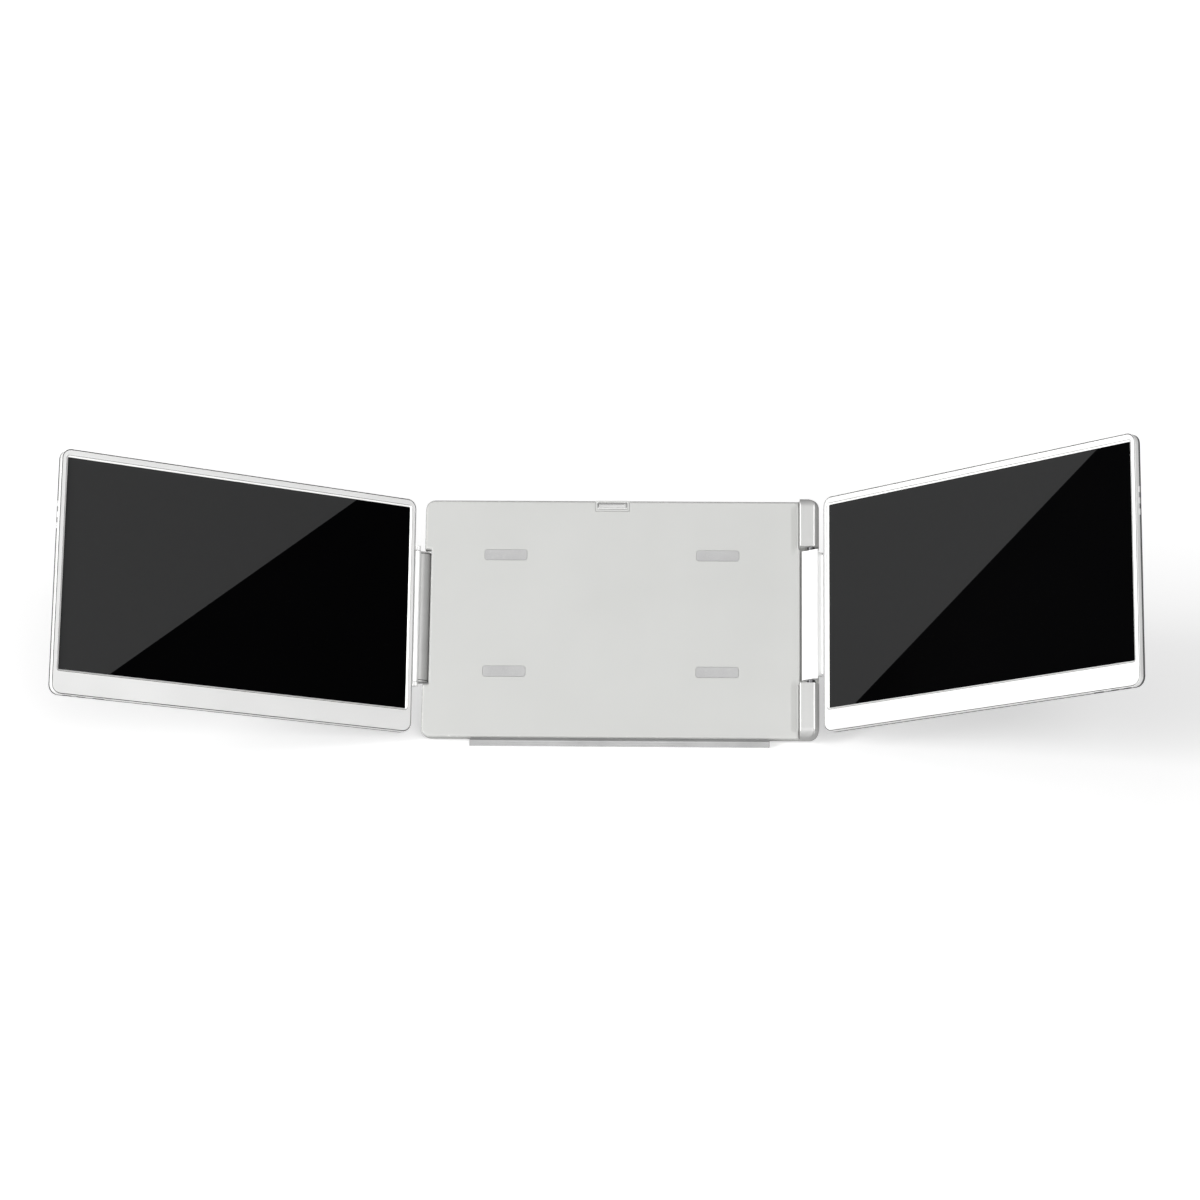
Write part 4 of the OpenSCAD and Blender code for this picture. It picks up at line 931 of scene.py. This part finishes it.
def hingeArm():
    left, right, front, back = arm["left"], arm["right"], arm["front"], arm["back"]
    cx, cy = right - arm["round"] - arm["slot"], front + arm["round"]
    plan = [(left, back), (left, front + 0.7), (left + 0.2, front + 0.2), (left + 0.7, front),
            (left + 1.1, front)] + arc(cx, cy, arm["round"], -88, 0, 14) + [(right, cy + 0.5), (right, back)]
    rows = []
    # grooves near both ends, painted dark as shade
    for z in (arm["low"] + 1.4, arm["high"] - 2.0):
        rows += [(0.0, z - 0.1, 0.4), (0.5, z, -1.0), (0.5, z + 0.6, -1.0), (0.0, z + 0.7, 0.4)]
    body = post("arm", plan, arm["low"], arm["high"], 0.35, middle=rows)
    # the arm's left front edge is painted bright as a highlight
    markWearAndLight(body, lambda p: p.x < left + 0.8 and p.y < front + 0.8, 2.0)
    return body


def armBarrel():
    # the barrel on the pin, let into the arm, in the pale leaf finish as a painted highlight of its lit side
    return post("barrel", arc(leftHinge["x"], leftHinge["y"], arm["barrel"], 0, 348, 29), arm["low"] + 0.02,
                arm["high"] - 0.02, 0.3)


place(hingeLeaf(), "rightLeaf", hingePlace(rightHinge), "right_screen", finishes["leafWhite"],
      ["right_hinge_leaf"])
place(hingeArm(), "leftArm", panelPlace, "centre_panel", finishes["armSteel"], ["left_hinge_arm"])
place(armBarrel(), "leftArmBarrel", panelPlace, "centre_panel", finishes["leafWhite"], ["left_hinge_arm"])

# the displays' dark glass, with a painted reflection: a lighter tone that meets the dark along a diagonal

glass = dict(left=((300.7, 23.6), (63.3, 214.8)), right=((36.2, 22.7), (315.1, 215.6)), soft=0.15,
             paintedReflection=dict(left=(0.0260, 0.0262, 0.0265), right=(0.0206, 0.0208, 0.0211)),
             paint=dict(dark=(0.0005, 0.0005, 0.0006), light=(0.0008, 0.0008, 0.0009), rough=(0.10, 0.16),
                        grain=3000.0, cloud=6.0, bump=0.002, specular=0.014))


def displayWithPaintedReflection(word, hinge, side):
    made = finish(word + "Display", **glass["paint"])
    where = casePlace(hinge, side)

    def spot(x, z):
        return where @ (Vector((side * x, screen["glassAt"], z)) * mm)

    # the painted reflection's diagonal edge, fixed to the glass
    a, b = spot(*glass[word][0]), spot(*glass[word][1])
    across = (b - a).cross(where.to_3x3() @ Vector((0, 1, 0))).normalized()
    reflectionCorner = spot(screen["width"] if side < 0 else 0, screen["height"])
    if (reflectionCorner - a).dot(across) < 0:
        across.negate()
    tree = made.node_tree
    surface = tree.nodes["Principled BSDF"]
    deep = surface.inputs["Base Color"].links[0].from_socket
    far = node(tree, "ShaderNodeVectorMath", [(0, node(tree, "ShaderNodeTexCoord").outputs["Object"])],
               operation="DOT_PRODUCT")
    far.inputs[1].default_value = across
    line, soft = a.dot(across), glass["soft"] * mm
    share = ranged(tree, far.outputs["Value"], line - soft, line + soft, 0.0, 1.0)
    tree.links.new(between(tree, share, deep, glass["paintedReflection"][word]), surface.inputs["Base Color"])
    return made


finishes["leftDisplay"] = displayWithPaintedReflection("left", leftHinge, -1)
finishes["rightDisplay"] = displayWithPaintedReflection("right", rightHinge, 1)

# pieces that keep their frame shapes

kept = dict(
    leftDisplay=["left_cover_glass"],
    rightDisplay=["right_cover_glass"],
    displayCell=["left_lcd_cell", "right_lcd_cell"],
    lightGuide=["left_backlight", "right_backlight"],
    circuitBoard=["left_driver_board", "right_driver_board", "left_port_board", "right_port_board",
                  "left_button_board", "right_button_board"],
    speakerBlack=["left_speakers", "right_speakers"],
    portSteel=["left_usb_sockets", "right_usb_sockets", "left_hdmi_socket", "right_hdmi_socket"],
    leafWhite=["left_hinge_knuckles"],
    darkSteel=["left_hinge_washers", "right_hinge_washers", "boss_screws", "clip_hook_pin"],
    steel=["panel_stiffener", "left_hinge_pin", "right_hinge_pin", "kickstand_pin", "kickstand_brackets",
           "clip_rails", "clip_retainer", "left_carrier", "right_carrier"],
)
for finishName, names in kept.items():
    for name in names:
        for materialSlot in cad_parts[name].material_slots:
            materialSlot.material = finishes[finishName]
print("pieces placed")

# camera, light and the room

shot = dict(lens=99.81, place=(0.078, -2.986, 0.872), tilt=13.79, turn=1.84, roll=-0.11)
cameraData = bpy.data.cameras.new("camera")
cameraData.lens = shot["lens"]
cameraData.sensor_width = 36.0
cameraData.clip_end = 100.0
camera = bpy.data.objects.new("camera", cameraData)
bpy.context.scene.collection.objects.link(camera)
camera.matrix_world = (Matrix.Translation(shot["place"]) @ Matrix.Rotation(math.radians(shot["turn"]), 4, "Z")
                       @ Matrix.Rotation(math.radians(90 - shot["tilt"]), 4, "X")
                       @ Matrix.Rotation(math.radians(shot["roll"]), 4, "Z"))
bpy.context.scene.camera = camera
bpy.context.scene.view_settings.view_transform = "Standard"

floorLook = dict(size=60.0, tone=0.86, nearGlow=0.42, farGlow=0.86, near=0.5, far=2.2, spill=0.25)


def floorPlane():
    size = floorLook["size"] / 2
    data = bpy.data.meshes.new("floor")
    corners = [(-size, -size, 0), (size, -size, 0), (size, size, 0), (-size, size, 0)]
    data.from_pydata(corners, [], [(0, 1, 2, 3)])
    made = bpy.data.objects.new("floor", data)
    bpy.context.scene.collection.objects.link(made)
    material = bpy.data.materials.new("floorWhite")
    material.use_nodes = True
    tree = material.node_tree
    surface = tree.nodes["Principled BSDF"]
    for label, value in (("Base Color", (floorLook["tone"],) * 3 + (1.0,)), ("Roughness", 0.9),
                         ("Specular IOR Level", 0.1), ("Emission Color", (1.0, 1.0, 1.0, 1.0))):
        surface.inputs[label].default_value = value
    away = node(tree, "ShaderNodeVectorMath", [(0, node(tree, "ShaderNodeTexCoord").outputs["Object"])],
                operation="LENGTH")
    glow = ranged(tree, away.outputs["Value"], floorLook["near"], floorLook["far"], floorLook["nearGlow"],
                  floorLook["farGlow"])
    seen = ranged(tree, node(tree, "ShaderNodeLightPath").outputs["Is Camera Ray"], 0.0, 1.0,
                  floorLook["spill"], 1.0)
    tree.links.new(sums(tree, "MULTIPLY", [(0, glow), (1, seen)]), surface.inputs["Emission Strength"])
    data.materials.append(material)


floorPlane()

lamps = dict(key=dict(at=(-3.3, -3.3, 1.45), aim=(0.0, 0.0, 0.12), size=2.2, power=218.0),
             fill=dict(at=(1.1, -6.0, 2.0), aim=(-0.2, 0.0, 0.12), size=2.0, power=262.0))
for name, lamp in lamps.items():
    data = bpy.data.lights.new(name, "AREA")
    data.shape = "DISK"
    data.size = lamp["size"]
    data.energy = lamp["power"]
    made = bpy.data.objects.new(name, data)
    bpy.context.scene.collection.objects.link(made)
    aim = (Vector(lamp["aim"]) - Vector(lamp["at"])).to_track_quat("-Z", "Y")
    made.matrix_world = Matrix.Translation(lamp["at"]) @ aim.to_matrix().to_4x4()

room = dict(side=0.64, top=0.08, turnAt=0.38, turnTo=0.80, right=0.30, rightAt=0.25, rightTo=0.70)


def roomWorld():
    # near white all round, darker overhead and to the right
    world = bpy.data.worlds.new("room")
    world.use_nodes = True
    tree = world.node_tree
    direction = node(tree, "ShaderNodeTexCoord").outputs["Generated"]
    split = node(tree, "ShaderNodeSeparateXYZ", [(0, direction)])
    rise = ranged(tree, split.outputs["Z"], room["turnAt"], room["turnTo"], 0.0, 1.0)
    across = ranged(tree, split.outputs["X"], room["rightAt"], room["rightTo"], 0.0, 1.0)
    around = between(tree, across, (room["side"],) * 3, (room["right"],) * 3)
    tone = between(tree, rise, around, (room["top"],) * 3)
    tree.links.new(tone, tree.nodes["Background"].inputs["Color"])
    bpy.context.scene.world = world


roomWorld()
print("room made")
